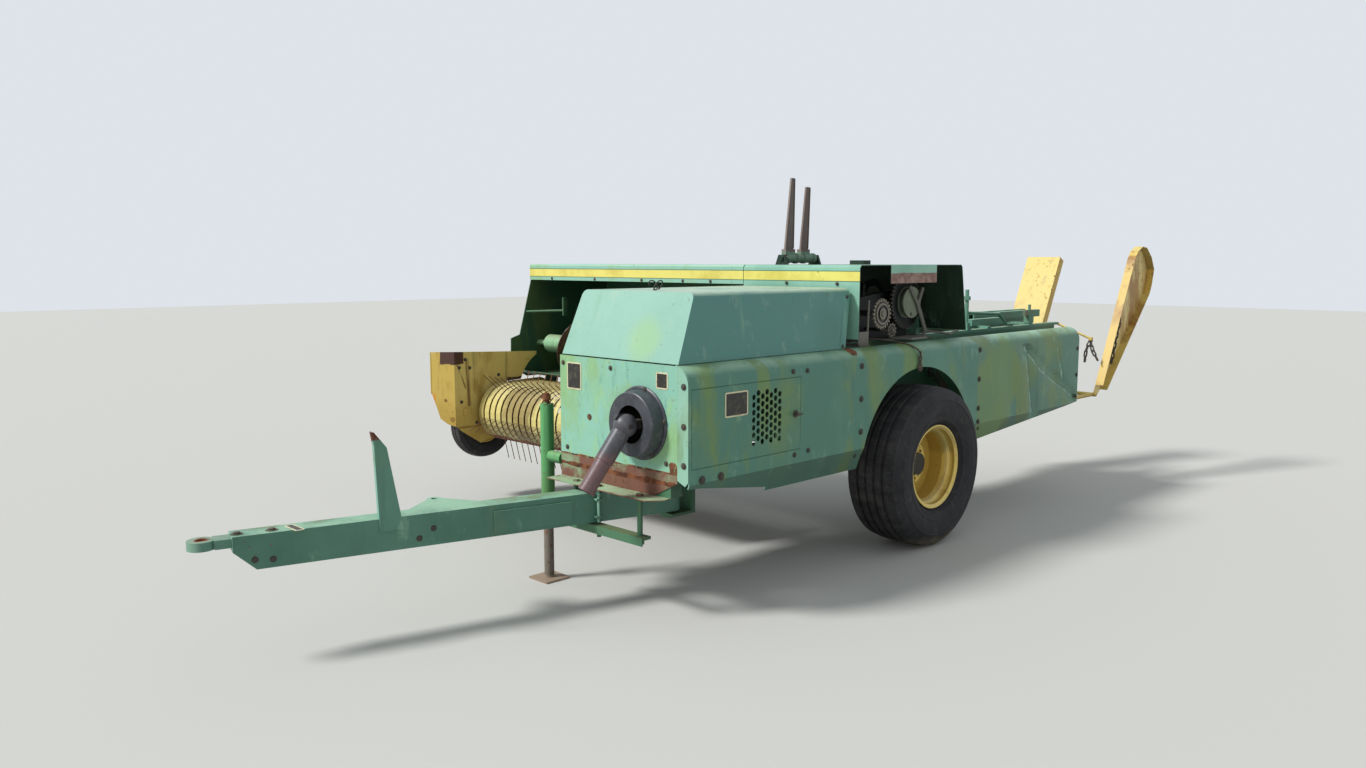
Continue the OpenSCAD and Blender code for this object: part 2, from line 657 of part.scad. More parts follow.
// knotter cover: a folded sheet open to the left
cover_left = 45;
cover_low = 1055;
module knotter_cover() color("darkslategray") place() {
    folded_cover();
    for (x = [fork_x - 137, fork_x + 130])
        along_x(x, x + 12)
            polygon([[-fork_y - 40, hood_top - 2], [-fork_y + 40, hood_top - 2], [-fork_y + 20, fork_z + 18],
                [-fork_y - 20, fork_z + 18]]);
    translate([fork_x - 144, -fork_y, fork_z]) rotate([0, 90, 0]) cylinder(r = fork_pin_r, h = 293);
    block([lip_back, -cover_left - sheet, lip_low], [lip_front, -cover_left, hood_top - 1]);
    block([-318, -690, hood_top - 1], [-250, -600, hood_top + 22]);
}
// turned-down lip along the middle of the cover's left edge
lip_front = 310;
lip_back = -90;
lip_low = 1306;
module folded_cover() difference() {
    along_y(-cover_seam, -cover_left) difference() {
        polygon([[hood_front, cover_low], [hood_front - 2, hood_top - 12], [hood_front - 14, hood_top],
            [-322, hood_top], [-334, hood_top - 12], [-388, cover_low]]);
        polygon([[hood_front - sheet, cover_low - 20], [hood_front - 2 - sheet, hood_top - 14],
            [hood_front - 16, hood_top - sheet], [-320, hood_top - sheet], [-330, hood_top - 14],
            [-384, cover_low - 20]]);
    }
    block([fork_x - 50, -cover_seam - 5, hood_top - 30], [fork_x + 50, -560, hood_top + 5]);
}

// knotter frame on the chamber's top: two cheek plates and a base, with the trip levers and idler
module link_plate(a, b, w) {
    for (c = [a, b])
        translate(c) circle(r = w / 2, $fn = 24);
    n = [a.y - b.y, b.x - a.x] / norm(b - a) * w / 2;
    polygon([a - n, b - n, b + n, a + n]);
}
base_z = roof_z + chamber_t + 12;
lever_y = 214;
idler = [117, 1072];
module knotter_frame() color("dimgray") place() {
    difference() {
        block([-300, -chamber_right + 30, roof_z + chamber_t], [260, -chamber_left - 10, base_z]);
        for (y = needle_slots)
            block([slot_back, -y - slot_w / 2, roof_z], [slot_front, -y + slot_w / 2, roof_z + 50]);
    }
    block([-300, -chamber_left - 11, base_z - 8], [110, -lever_y + 9, base_z]);
    translate([0, 0, base_z - 1]) linear_extrude(9)
        polygon([[-215, -214], [-108, -100], [33, -100], [60, -214]]);
    for (y = [chamber_left + 20, chamber_right - 50])
        difference() {
            along_y(-y - 12, -y)
                polygon([[-260, base_z - 1], [240, base_z - 1], [240, 1190],
                    [170, 1230], [knot_x + 40, knot_z + 60], [knot_x - 40, knot_z + 60]]);
            on_axle(knot_x, 0, knot_z) cylinder(r = 20 + run_gap, h = 1000);
        }
    on_axle(sprocket_x, -150, sprocket_z) cylinder(r = 14, h = chamber_left + 20 - 149);
    on_axle(idler.x, -160, idler.y) linear_extrude(8) polygon(tooth_ring(11, 29, 37, 0.8, 0.3));
    on_axle(idler.x, -152, idler.y) cylinder(r = 9, h = chamber_left + 20 - 151);
    along_y(-lever_y - 8, -lever_y) {
        link_plate([-199, 1188], [-275, 1051], 24);
        link_plate([-199, 1188], [-239, 1267], 20);
        link_plate([-199, 1188], [-126, 1278], 18);
        link_plate([-275, 1051], [-262, base_z - 4], 24);
    }
    rod([-275, -lever_y - 4, 1051], [-399, -150, 1030], 6);
    rod([-399, -150, 1030], [-502, -150, 1050], 6);
    translate([-399, -150, 1030]) sphere(r = 7.5, $fn = 16);
}

// knotter shaft with its toothed wheel, cam wheels and the pale disc on its end
module knotter_shaft() color("gray") place() {
    on_axle(knot_x, -236, knot_z) cylinder(r = 20, h = chamber_right - 20 - 236);
    on_axle(knot_x, -262, knot_z) linear_extrude(14) polygon(tooth_ring(40, 127, 138, 0.62, 0.3));
    on_axle(knot_x, -250, knot_z) cylinder(r = 48, h = 40);
    on_axle(knot_x, -228, knot_z) linear_extrude(9) difference() {
        circle(r = 80);
        translate([8, -60]) circle(r = 9, $fn = 16);
    }
    for (y = [chamber_mid - 60, chamber_mid + 60])
        on_axle(knot_x, -y, knot_z) linear_extrude(16) difference() {
            circle(r = 118);
            translate([70, 30]) square([80, 60]);
        }
}

// drive sprocket beside the knotters, with a raised ring on its web
sprocket_x = 205;
sprocket_z = 1156;
module drive_sprocket() color("gray") place() on_axle(sprocket_x, -160, sprocket_z) difference() {
    union() {
        linear_extrude(8) polygon(tooth_ring(22, 63, 76, 0.92, 0.22));
        translate([0, 0, -4]) difference() {
            cylinder(r = 52, h = 6);
            translate([0, 0, -1]) cylinder(r = 43, h = 6);
        }
        translate([0, 0, -5]) cylinder(r = 28, h = 34);
    }
    translate([0, 0, -60]) cylinder(r = 14 + run_gap, h = 200);
}

// needles: two curved bars on a yoke that hangs under the chamber
needle_x = knot_x - 288;
needle_z = floor_z + bale_h / 2;
needle_r = 340;
needle_turn = 100;
yoke_turn = 140;
arm_gap = 24;
arm_t = 12;
function polar(r, a) = [r * cos(a), r * sin(a)];
module arc_band(r, w, from, to) difference() {
    circle(r = r + w / 2);
    circle(r = r - w / 2);
    polygon(concat([[0, 0]], [for (k = [0:8]) polar(2 * r, to + k * (360 - to + from) / 8)]));
}
module needle_yoke() color("steelblue") place() translate([needle_x, 0, needle_z]) {
    for (y = needle_slots)
        along_y(-y - 8, -y + 8) arc_band(needle_r, 24, -yoke_turn, -40);
    for (y = [chamber_left - arm_gap - arm_t, chamber_right + arm_gap])
        along_y(-y - arm_t, -y) difference() {
            union() {
                circle(r = 40);
                rotate(-yoke_turn) translate([0, -22]) square([needle_r, 44]);
                translate(polar(needle_r, -yoke_turn)) circle(r = 22);
            }
            circle(r = yoke_pin_r + run_gap);
        }
    translate([needle_r * cos(yoke_turn), 0, -needle_r * sin(yoke_turn)])
        on_axle(0, -chamber_left + arm_gap + arm_t, 0)
            cylinder(r = 14, h = bale_w + 2 * arm_gap + 2 * arm_t);
}
yoke_pin_r = 20;

// feeder hood: top and front lip over the auger, striped along its front
module feeder_hood() color("mediumaquamarine") place() {
    along_y(-feeder_right, -cover_seam - 2) difference() {
        polygon([[hood_front, hood_top - 96], [hood_front, hood_top - 10], [hood_front - 10, hood_top],
            [feeder_back, hood_top], [feeder_back, hood_top - sheet], [hood_front - 12, hood_top - sheet],
            [hood_front - sheet, hood_top - 12], [hood_front - sheet, hood_top - 92],
            [hood_front - 60, hood_top - 92], [hood_front - 60, hood_top - 96]]);
    }
}

// back wall of the feeder
module feeder_back_wall() color("darkgreen") place()
    block([feeder_back, -feeder_right + 6, pan_z],
        [feeder_back + sheet, -chamber_right - 1, hood_top - sheet - 0.5]);

// feeder floor with its front lip
module feeder_floor() color("darkgreen") place() {
    along_y(-feeder_right + 6, -chamber_right - 1)
        polygon([[feeder_back, pan_z - sheet], [600, pan_z - sheet], [700, pan_z + 24], [698, pan_z + 30],
            [598, pan_z], [feeder_back, pan_z]]);
    for (y = [arm_y[0] + 20, arm_y[1] - 12])
        along_y(-y - 8, -y)
            polygon([[lift_x - 50, pan_z - 2], [lift_x + 50, pan_z - 2], [lift_x + 30, lift_z - 30],
                [lift_x - 30, lift_z - 30]]);
    on_axle(lift_x, -arm_y[0] + 8, lift_z) cylinder(r = 22, h = 32);
    on_axle(lift_x, -arm_y[1] + 8, lift_z) cylinder(r = 22, h = 24);
}

// right end panel of the feeder
module feeder_end_panel() color("green") place() {
    rod([595, -feeder_right + 4, 1100], [545, -2200, 1116], 7);
    block([531, -2206, 1086], [559, -2196, 1194]);
    along_y(-feeder_right, -feeder_right + 5) difference() {
        polygon([[feeder_back, pan_z - 20], [600, pan_z - 20], [716, pan_z + 40], [716, 869], [714, 940],
            [648, 961], [hood_front - 4.5, hood_top - 98], [hood_front - 5, hood_top - 97],
            [feeder_back, hood_top - 97]]);
        translate([auger_x, auger_z]) circle(r = 18 + run_gap);
    }
}

// auger: tube with one helical flight
flight_from = chamber_right + 42;
flight_to = 2160;
auger_tube_to = 2400;
flight_pitch = 330;
flight_edge = 16;
module flight() translate([0, 0, flight_from])
    linear_extrude(flight_to - flight_from, twist = 360 * (flight_to - flight_from) / flight_pitch,
        slices = 96, segments = 4)
        translate([auger_tube_r - 5, -flight_edge / 2]) square([auger_r - auger_tube_r + 5, flight_edge]);
module auger() color("darkseagreen") place() on_axle(auger_x, 0, auger_z) {
    translate([0, 0, chamber_right + 20]) cylinder(r = auger_tube_r, h = auger_tube_to - chamber_right - 20);
    translate([0, 0, chamber_right - 6]) cylinder(r = 18, h = feeder_right - chamber_right + 2);
    flight();
}

// feeder fork: two tapered tines in a clamp above the hood, as base edges, tip edges and tip height
fork_x = 243;
fork_y = 650;
fork_z = hood_top + 32;
fork_pin_r = 14;
fork_tines = [[[53, 120], [47, 73], 1827], [[-66, -3], [-79, -47], 1788]];
module feeder_fork() color("slategray") place() translate([fork_x, -fork_y, fork_z]) {
    rotate([0, 90, 0]) difference() {
        union() {
            cylinder(r = 23, h = 236, center = true);
            for (x = [-105, -31, 31, 100])
                translate([0, 0, x]) cylinder(r = 27, h = 18, center = true);
        }
        cylinder(r = fork_pin_r + run_gap, h = 240, center = true);
    }
    for (t = fork_tines) {
        along_y(-5, 5)
            polygon([[t[0][0], 22], [t[0][1], 22], [t[1][1], t[2] - fork_z], [t[1][0], t[2] - fork_z]]);
        block([t[0][0] - 4, -14, 18], [t[0][1] + 4, 14, 46]);
    }
}

// pickup frame: lift arms and cross tubes
arm_y = [reel_left - 45, reel_right + 16];
tube_at = [590, 470];
upper_rail = [640, 686];
lower_rail = [625, 398];
module pickup_frame() color("goldenrod") place() {
    for (y = arm_y)
        along_y(-y - 8, -y) difference() {
            union() {
                polygon([[lift_x - 30, lift_z - 30], [lift_x + 10, lift_z + 38], [600, 704],
                    [reel_x - 60, reel_z + 168],
                    [reel_x + 60, reel_z + 20], [reel_x + 60, reel_z - 100], [reel_x - 60, reel_z - 168],
                    [lower_rail.x - 30, lower_rail.y - 20], [tube_at.x - 40, tube_at.y - 30]]);
                translate([lift_x, lift_z]) circle(r = 44);
                translate([reel_x, reel_z]) circle(r = 70);
                if (y > reel_right) translate([gauge_x, gauge_z]) circle(r = 40);
            }
            translate([lift_x, lift_z]) circle(r = 22 + run_gap);
            translate([reel_x, reel_z]) circle(r = 20 + run_gap);
        }
    on_axle(tube_at.x, -arm_y[0] - 4, tube_at.y) cylinder(r = 22, h = arm_y[1] - arm_y[0]);
    on_axle(gauge_x, -arm_y[1] - 4, gauge_z) cylinder(r = 15, h = gauge_y + 45 - arm_y[1]);
}

// flared right end of the pickup: a side sheet and a wing turned outwards at its front
flare_y = arm_y[1] + 18;
flare_side = [[738, 702], [842, 698], [800, 560], [850, 430], [960, 372], [1032, 345], [1156, 424],
    [1202, 463], [1202, 893], [618, 864], [618, 846], [652, 824], [682, 796], [706, 764], [722, 736]];
flare_wing = [[-3, 460], [53, 470], [106, 499], [137, 578], [165, 643], [168, 886], [-3, 893]];
wing_turn = 70.6;
module pickup_flare() color("goldenrod") place() {
    along_y(-flare_y - 2, -flare_y + 2) difference() {
        polygon(flare_side);
        translate([gauge_x, gauge_z]) circle(r = 17);
    }
    translate([1202, -flare_y, 0]) rotate([0, 0, -wing_turn]) {
        along_y(-2, 2) polygon(flare_wing);
        translate([168, 0, 643]) cylinder(r = 5, h = 243);
    }
    for (x = [880, 1110])
        block([x, -flare_y + 1, 520], [x + 40, -arm_y[1] - 8, 560]);
}

// stripper bands round the front of the reel, their tails on two rails behind it
band_count = 27;
band_pitch = (reel_right - reel_left) / band_count;
band_w = band_pitch - 15;
band_t = 3;
function band_path(r) = concat([upper_rail + [0, 8 + r - band_r]],
    [for (a = [97:-13:-98]) [reel_x, reel_z] + polar(r, a)], [lower_rail + [0, band_r - r - 8]]);
module pickup_bands() color("khaki") place() {
    for (k = [0:band_count - 1])
        translate([0, -reel_left - (k + 0.5) * band_pitch, 0]) rotate([90, 0, 0])
            linear_extrude(band_w, center = true)
                polygon(concat(band_path(band_r), turned(band_path(band_r - band_t))));
    for (rail = [upper_rail, lower_rail])
        on_axle(rail.x, -arm_y[0] - 8, rail.y) cylinder(r = 10, h = arm_y[1] - arm_y[0] - 8);
}

// tined reel: raked spring tines on five bars
bar_r = 110;
tine_rows = 5;
tine_rake = 35;
tine_len = sqrt(pow(tine_r, 2) - pow(bar_r * sin(tine_rake), 2)) - bar_r * cos(tine_rake);
module pickup_reel() color("dimgray") place() {
    on_axle(reel_x, -reel_left + 40, reel_z) cylinder(r = 20, h = reel_right - reel_left + 60);
    for (row = [0:tine_rows - 1])
        translate([reel_x, 0, reel_z]) rotate([0, -75.7 - row * 360 / tine_rows, 0]) {
            on_axle(bar_r, -reel_left - 4, 0) cylinder(r = 12, h = reel_right - reel_left - 8);
            for (k = [1:band_count - 1])
                translate([bar_r, -reel_left - k * band_pitch, 0]) rotate([0, 90 + tine_rake, 0])
                    cylinder(r = 2.5, h = tine_len, $fn = 6);
        }
    for (y = [reel_left + 6, (reel_left + reel_right) / 2, reel_right - 14])
        on_axle(reel_x, -y, reel_z) cylinder(r = 124, h = 5);
}

// gauge wheel beside the flare
gauge_x = 950;
gauge_y = 2500;
gauge_z = 440;
gauge_rim_r = 108;
module gauge_tyre() color("black") place() on_axle(gauge_x, -gauge_y, gauge_z) rotate_extrude()
    polygon(tyre_section(gauge_r, gauge_w, gauge_rim_r - 9.7, 64, 10));
module gauge_rim() color("gold") place() on_axle(gauge_x, -gauge_y, gauge_z) difference() {
    union() {
        rotate_extrude() polygon(rim_section(gauge_rim_r, 80, 4));
        cylinder(r = gauge_rim_r - 14, h = 6, center = true);
        cylinder(r = 28, h = 90, center = true);
    }
    cylinder(r = 15 + run_gap, h = 100, center = true);
}

// tyre: an open C section, its beads on the rim
function tyre_side(r, w, bead, bead_w) = [
    [bead, bead_w / 2],
    [bead + 15, bead_w / 2],
    [bead + 0.30 * (r - bead), 0.47 * w],
    [bead + 0.52 * (r - bead), 0.5 * w],
    [bead + 0.76 * (r - bead), 0.475 * w],
    [bead + 0.93 * (r - bead), 0.415 * w],
    [bead + 0.985 * (r - bead), 0.30 * w],
    [r, 0.1 * w]];
function tyre_lining(r, w, bead, bead_w, wall) = [
    [bead, bead_w / 2 - wall],
    [bead + 0.4 * (r - bead), w / 2 - wall],
    [r - 1.3 * wall, 0.36 * w]];
function turned(pts) = [for (k = [len(pts) - 1:-1:0]) pts[k]];
function flipped(pts) = [for (p = pts) [p.x, -p.y]];
function tyre_section(r, w, bead, bead_w, wall) = concat(
    tyre_side(r, w, bead, bead_w), flipped(turned(tyre_side(r, w, bead, bead_w))),
    flipped(tyre_lining(r, w, bead, bead_w, wall)), turned(tyre_lining(r, w, bead, bead_w, wall)));

// rim: rolled flanges, bead seats and a dropped well, as half sections from flange to well
function rim_outside(r, w) = [[r, w / 2], [r, w / 2 - 5], [r - 10, w / 2 - 7], [r - 12, 0.34 * w],
    [0.86 * r, 0.26 * w]];
function rim_inside(r, w, t) = [[r - 5, w / 2], [r - 12 - t, w / 2 - 8], [r - 13 - t, 0.34 * w - 2],
    [0.86 * r - t, 0.26 * w - 3]];
function rim_section(r, w, t) = concat(
    rim_outside(r, w), flipped(turned(rim_outside(r, w))),
    flipped(rim_inside(r, w, t)), turned(rim_inside(r, w, t)));

left_wheel_y = 67;
left_hub_out = 75;
right_hub_out = right_wheel_y + 40;

module left_tyre() color("black") place() on_axle(0, -left_wheel_y, left_tyre_r) rotate_extrude($fn = 64)
    polygon(tyre_section(left_tyre_r, left_tyre_w, rim_r - 9.7, left_rim_w - 16, 16));
module left_rim() color("gold") place() on_axle(0, -left_wheel_y, left_tyre_r) {
    rotate_extrude($fn = 96) polygon(rim_section(rim_r, left_rim_w, 6));
    translate([0, 0, 40]) wheel_disc(0.86 * rim_r - 3);
}
module wheel_disc(r) difference() {
    union() {
        cylinder(r = r, h = 8);
        translate([0, 0, -7]) cylinder(r = hole_ring + 26, h = 10);
    }
    translate([0, 0, -8]) cylinder(r = hub_r + 0.2, h = 20);
    for (k = [0:hole_count - 1])
        rotate(k * 360 / hole_count) translate([hole_ring, 0, -8]) cylinder(r = 9, h = 20);
}
hole_ring = 86;
hole_count = 10;
hub_r = 55;
module left_hub() color("dimgray") place() difference() {
    union() {
        on_axle(0, -left_hub_out + 12, left_tyre_r) cylinder(r = hub_r, h = 130);
        on_axle(0, -left_wheel_y - 48, left_tyre_r) cylinder(r = 92, h = 12);
    }
    on_axle(0, -left_hub_out + 0.3, left_tyre_r) cylinder(r = spindle_r + run_gap, h = 200);
}
module right_tyre() color("black") place() on_axle(0, -right_wheel_y, right_tyre_r) rotate_extrude($fn = 64)
    polygon(tyre_section(right_tyre_r, right_tyre_w, rim_r - 29.7, right_rim_w - 16, 14));
module right_rim() color("gold") place() on_axle(0, -right_wheel_y, right_tyre_r) {
    rotate_extrude($fn = 96) polygon(rim_section(rim_r - 20, right_rim_w, 6));
    translate([0, 0, 8]) rotate([180, 0, 0]) wheel_disc(0.86 * (rim_r - 20) - 3);
}
module right_hub() color("dimgray") place() difference() {
    union() {
        on_axle(0, -right_wheel_y + 50, right_tyre_r) cylinder(r = hub_r, h = 102);
        on_axle(0, -right_wheel_y + 12, right_tyre_r) cylinder(r = 92, h = 12);
    }
    on_axle(0, -right_wheel_y + 60, right_tyre_r) cylinder(r = spindle_r + run_gap, h = 60 + 40.3);
}

// chute carrier: bars from under the chamber to the chute's hinge rod
carrier_front = -1600;
carrier_bars = [48, chamber_right + 15];
module chute_carrier() color("goldenrod") place() {
    for (y = carrier_bars)
        rod([carrier_front, -y, chute_z], [chute_x, -y, chute_z], 12);
    on_axle(chute_x, -20, chute_z) cylinder(r = 12, h = carrier_bars[1]);
    block([carrier_front - 20, -carrier_bars[1] - 12, chute_z - 12], [carrier_front + 20, -36, 597]);
    block([carrier_front - 20, -chamber_right, 596],
        [carrier_front + 20, -chamber_left, floor_z - chamber_t]);
}

// chute pans, folded up behind the machine, each a web with turned rims
module on_chute() translate([chute_x, 0, chute_z]) rotate([0, -chute_lean, 0]) children();
module chute_floor_pan() color("khaki") place() on_chute() {
    block([14, -chamber_left - 190 - pan_w, 14], [18, -chamber_left - 190, pan_len]);
    for (y = [chamber_left + 190, chamber_left + 190 + pan_w - 4])
        block([-40, -y - 4, 14], [15, -y, pan_len]);
    block([-40, -chamber_left - 190 - pan_w, pan_len - 4], [15, -chamber_left - 190, pan_len]);
    for (y = [chamber_left + 190, chamber_left + 190 + pan_w - 12])
        translate([0, -y, 0]) rotate([90, 0, 0]) difference() {
            cylinder(r = 22, h = 12);
            translate([0, 0, -1]) cylinder(r = 12 + run_gap, h = 14);
        }
}
side_pan_y = 30;
side_rim = 46;
side_outline = [[16, 0], [16, 940], [0, 1010], [-50, 1070], [-115, 1096], [-220, 1080],
    [-304, 1033], [-328, 930], [-327, 857], [-60, 60], [-30, 0]];
module chute_side_pan() color("khaki") place() on_chute() {
    along_y(-side_pan_y - 4, -side_pan_y) difference() {
        polygon(side_outline);
        circle(r = 12 + run_gap);
    }
    along_y(-side_pan_y - 1, -side_pan_y + side_rim) difference() {
        polygon(side_outline);
        polygon(inset(side_outline, 4));
        translate([-100, -10]) square([200, 70]);
    }
}

// chain that holds the folded chute: links of one size along a table of joints, alternately turned
module chain(joints) for (k = [0:len(joints) - 2]) {
    d = joints[k + 1] - joints[k];
    translate((joints[k] + joints[k + 1]) / 2) rotate([0, acos(d.z / norm(d)), atan2(d.y, d.x)])
        rotate([90, 0, 90 * (k % 2)]) linear_extrude(7, center = true) difference() {
            polygon([[-6, -22.5], [6, -22.5], [12, -16], [12, 16], [6, 22.5], [-6, 22.5], [-12, 16],
                [-12, -16]]);
            polygon([[-2, -15.5], [2, -15.5], [5, -12], [5, 12], [2, 15.5], [-2, 15.5], [-5, 12],
                [-5, -12]]);
        }
}
bracket_end = [-2027, -100, 921];
swoop = [[-2027, -100, 905], [-2014, -87, 876], [-2003, -73, 847], [-1999, -55, 819], [-2001, -38, 789]];
tail = [[-2027, -100, 905], [-2016, -112, 875], [-2009, -119, 843], [-2005, -121, 809], [-2005, -122, 775]];
module chain_bracket() color("goldenrod") place() {
    block([rail_end - 16, -chamber_left - 22, roof_z - 2], [rail_end - seat, -chamber_left, roof_z + 13]);
    rod([rail_end - 9, -chamber_left - 10, roof_z + 5], bracket_end, 7);
    block(bracket_end - [10, 10, 22], bracket_end + [10, 10, 9]);
    chain(swoop);
    chain(tail);
}
pan_joints = [
    [-60, -17.7, 560], [-62, -17.7, 526], [-65, -17.7, 492], [-68, -17.7, 458], [-71, -17.7, 424],
    [-75, -17.7, 391], [-79, -17.7, 357], [-85, -17.7, 323], [-90, -17.7, 290], [-93, -17.7, 256]];
module pan_chain() color("sienna") place() on_chute() chain(pan_joints);

tongue_beam();
hitch_eye();
tongue_stand();
tongue_bracket();
main_frame();
axle_beam();
gearbox();
jack_tube();
jack_leg();
front_face();
front_apron();
driveline_bell();
drive_yoke();
driveline_tube();
side_shield_front();
side_door();
side_shield_arch();
side_shield_rear();
right_side_panel();
flywheel_hood();
chamber_floor();
chamber_left_wall();
chamber_right_wall();
chamber_top();
twine_box();
knotter_cover();
knotter_frame();
knotter_shaft();
drive_sprocket();
needle_yoke();
feeder_hood();
feeder_back_wall();
feeder_floor();
feeder_end_panel();
auger();
feeder_fork();
pickup_frame();
pickup_flare();
pickup_bands();
pickup_reel();
gauge_tyre();
gauge_rim();
left_tyre();
left_rim();
left_hub();
right_tyre();
right_rim();
right_hub();
chute_carrier();
chute_floor_pan();
chute_side_pan();
chain_bracket();
pan_chain();
tension_rails();
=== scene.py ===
"""A towed small square baler, parked on its wheels and jack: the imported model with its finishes,
the pressed and bolted details, a pale floor and soft light, seen from ahead of its left side."""
import math

import bpy
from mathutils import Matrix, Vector


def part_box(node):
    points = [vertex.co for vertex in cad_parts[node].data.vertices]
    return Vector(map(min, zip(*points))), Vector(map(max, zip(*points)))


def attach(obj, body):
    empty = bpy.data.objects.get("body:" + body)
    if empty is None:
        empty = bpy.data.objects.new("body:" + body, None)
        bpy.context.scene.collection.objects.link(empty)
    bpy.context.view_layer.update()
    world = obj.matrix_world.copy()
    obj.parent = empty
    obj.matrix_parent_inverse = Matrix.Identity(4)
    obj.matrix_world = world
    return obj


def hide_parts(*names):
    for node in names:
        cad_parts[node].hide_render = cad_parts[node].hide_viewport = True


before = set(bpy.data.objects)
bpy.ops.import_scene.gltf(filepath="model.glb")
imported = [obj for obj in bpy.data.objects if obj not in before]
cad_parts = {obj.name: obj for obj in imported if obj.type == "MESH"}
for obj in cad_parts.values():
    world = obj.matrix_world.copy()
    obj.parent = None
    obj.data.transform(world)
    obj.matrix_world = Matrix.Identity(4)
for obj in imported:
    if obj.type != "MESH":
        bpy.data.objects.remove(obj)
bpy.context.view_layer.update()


# The view: the camera stands ahead of the machine's left side, a little above the hood.
# A pale floor runs out of sight, a soft sun stands ahead and to the right, and the sky fills in.
CAMERA_AT = (4.1892, 3.9481, 1.4109)
CAMERA_YAW = 45.0993  # degrees, as is the pitch
CAMERA_PITCH = 6.7744
CAMERA_LENS = 27.27  # millimetres, on a film that is 36 wide
CAMERA_FILM = 36
SUN_STRENGTH = 2.9
SUN_WIDTH = 12  # degrees: wide, for soft shadows
SUN_SHINES = (-0.62, 0.34, -0.72)
SKY_LIGHT = 0.58  # what lights the machine
SKY_SEEN = 0.92  # what the camera and the mirrored rays see
FLOOR_SIZE = 60


def shade(code):
    """A colour written as six hex digits, as the linear values that a shader takes."""
    parts = [int(code[k:k + 2], 16) / 255 for k in (0, 2, 4)]
    return tuple([c / 12.92 if c < 0.04045 else ((c + 0.055) / 1.055) ** 2.4 for c in parts] + [1])


camera = bpy.data.objects.new("camera", bpy.data.cameras.new("camera"))
bpy.context.scene.collection.objects.link(camera)
yaw, pitch = math.radians(CAMERA_YAW), math.radians(CAMERA_PITCH)
ahead = Vector((-math.cos(yaw) * math.cos(pitch), -math.sin(yaw) * math.cos(pitch), -math.sin(pitch)))
camera.location = CAMERA_AT
camera.rotation_euler = ahead.to_track_quat("-Z", "Y").to_euler()
camera.data.lens = CAMERA_LENS
camera.data.sensor_width = CAMERA_FILM
bpy.context.scene.camera = camera

sun = bpy.data.objects.new("sun", bpy.data.lights.new("sun", "SUN"))
bpy.context.scene.collection.objects.link(sun)
sun.data.energy = SUN_STRENGTH
sun.data.angle = math.radians(SUN_WIDTH)
sun.rotation_euler = Vector(SUN_SHINES).to_track_quat("-Z", "Y").to_euler()

world = bpy.data.worlds.new("sky")
bpy.context.scene.world = world
world.use_nodes = True
sky = world.node_tree
sky.nodes["Background"].inputs["Color"].default_value = shade("E6ECF2")


def sky_maths(kind, *values, clamp=False):
    """A maths node in the sky's tree, fed by sockets or by plain numbers."""
    node = sky.nodes.new("ShaderNodeMath")
    node.operation = kind
    node.use_clamp = clamp
    for value, socket in zip(values, node.inputs):
        if isinstance(value, float):
            socket.default_value = value
        else:
            sky.links.new(value, socket)
    return node.outputs[0]


rays = sky.nodes.new("ShaderNodeLightPath").outputs
mirrored = sky_maths("ADD", rays["Is Glossy Ray"], rays["Is Transmission Ray"])
seen = sky_maths("ADD", rays["Is Camera Ray"], mirrored, clamp=True)
strength = sky_maths("MULTIPLY_ADD", seen, SKY_SEEN - SKY_LIGHT, SKY_LIGHT)
sky.links.new(strength, sky.nodes["Background"].inputs["Strength"])
bpy.context.scene.view_settings.view_transform = "Standard"

bpy.ops.object.select_all(action="DESELECT")
bpy.ops.mesh.primitive_plane_add(size=FLOOR_SIZE)
floor = bpy.context.object
floor.name = "floor"
floor_paint = bpy.data.materials.new("floor_paint")
floor_paint.use_nodes = True
floor_look = floor_paint.node_tree.nodes["Principled BSDF"].inputs
floor_look["Base Color"].default_value = shade("C9C8C2")
floor_look["Roughness"].default_value = 0.9
floor.data.materials.append(floor_paint)


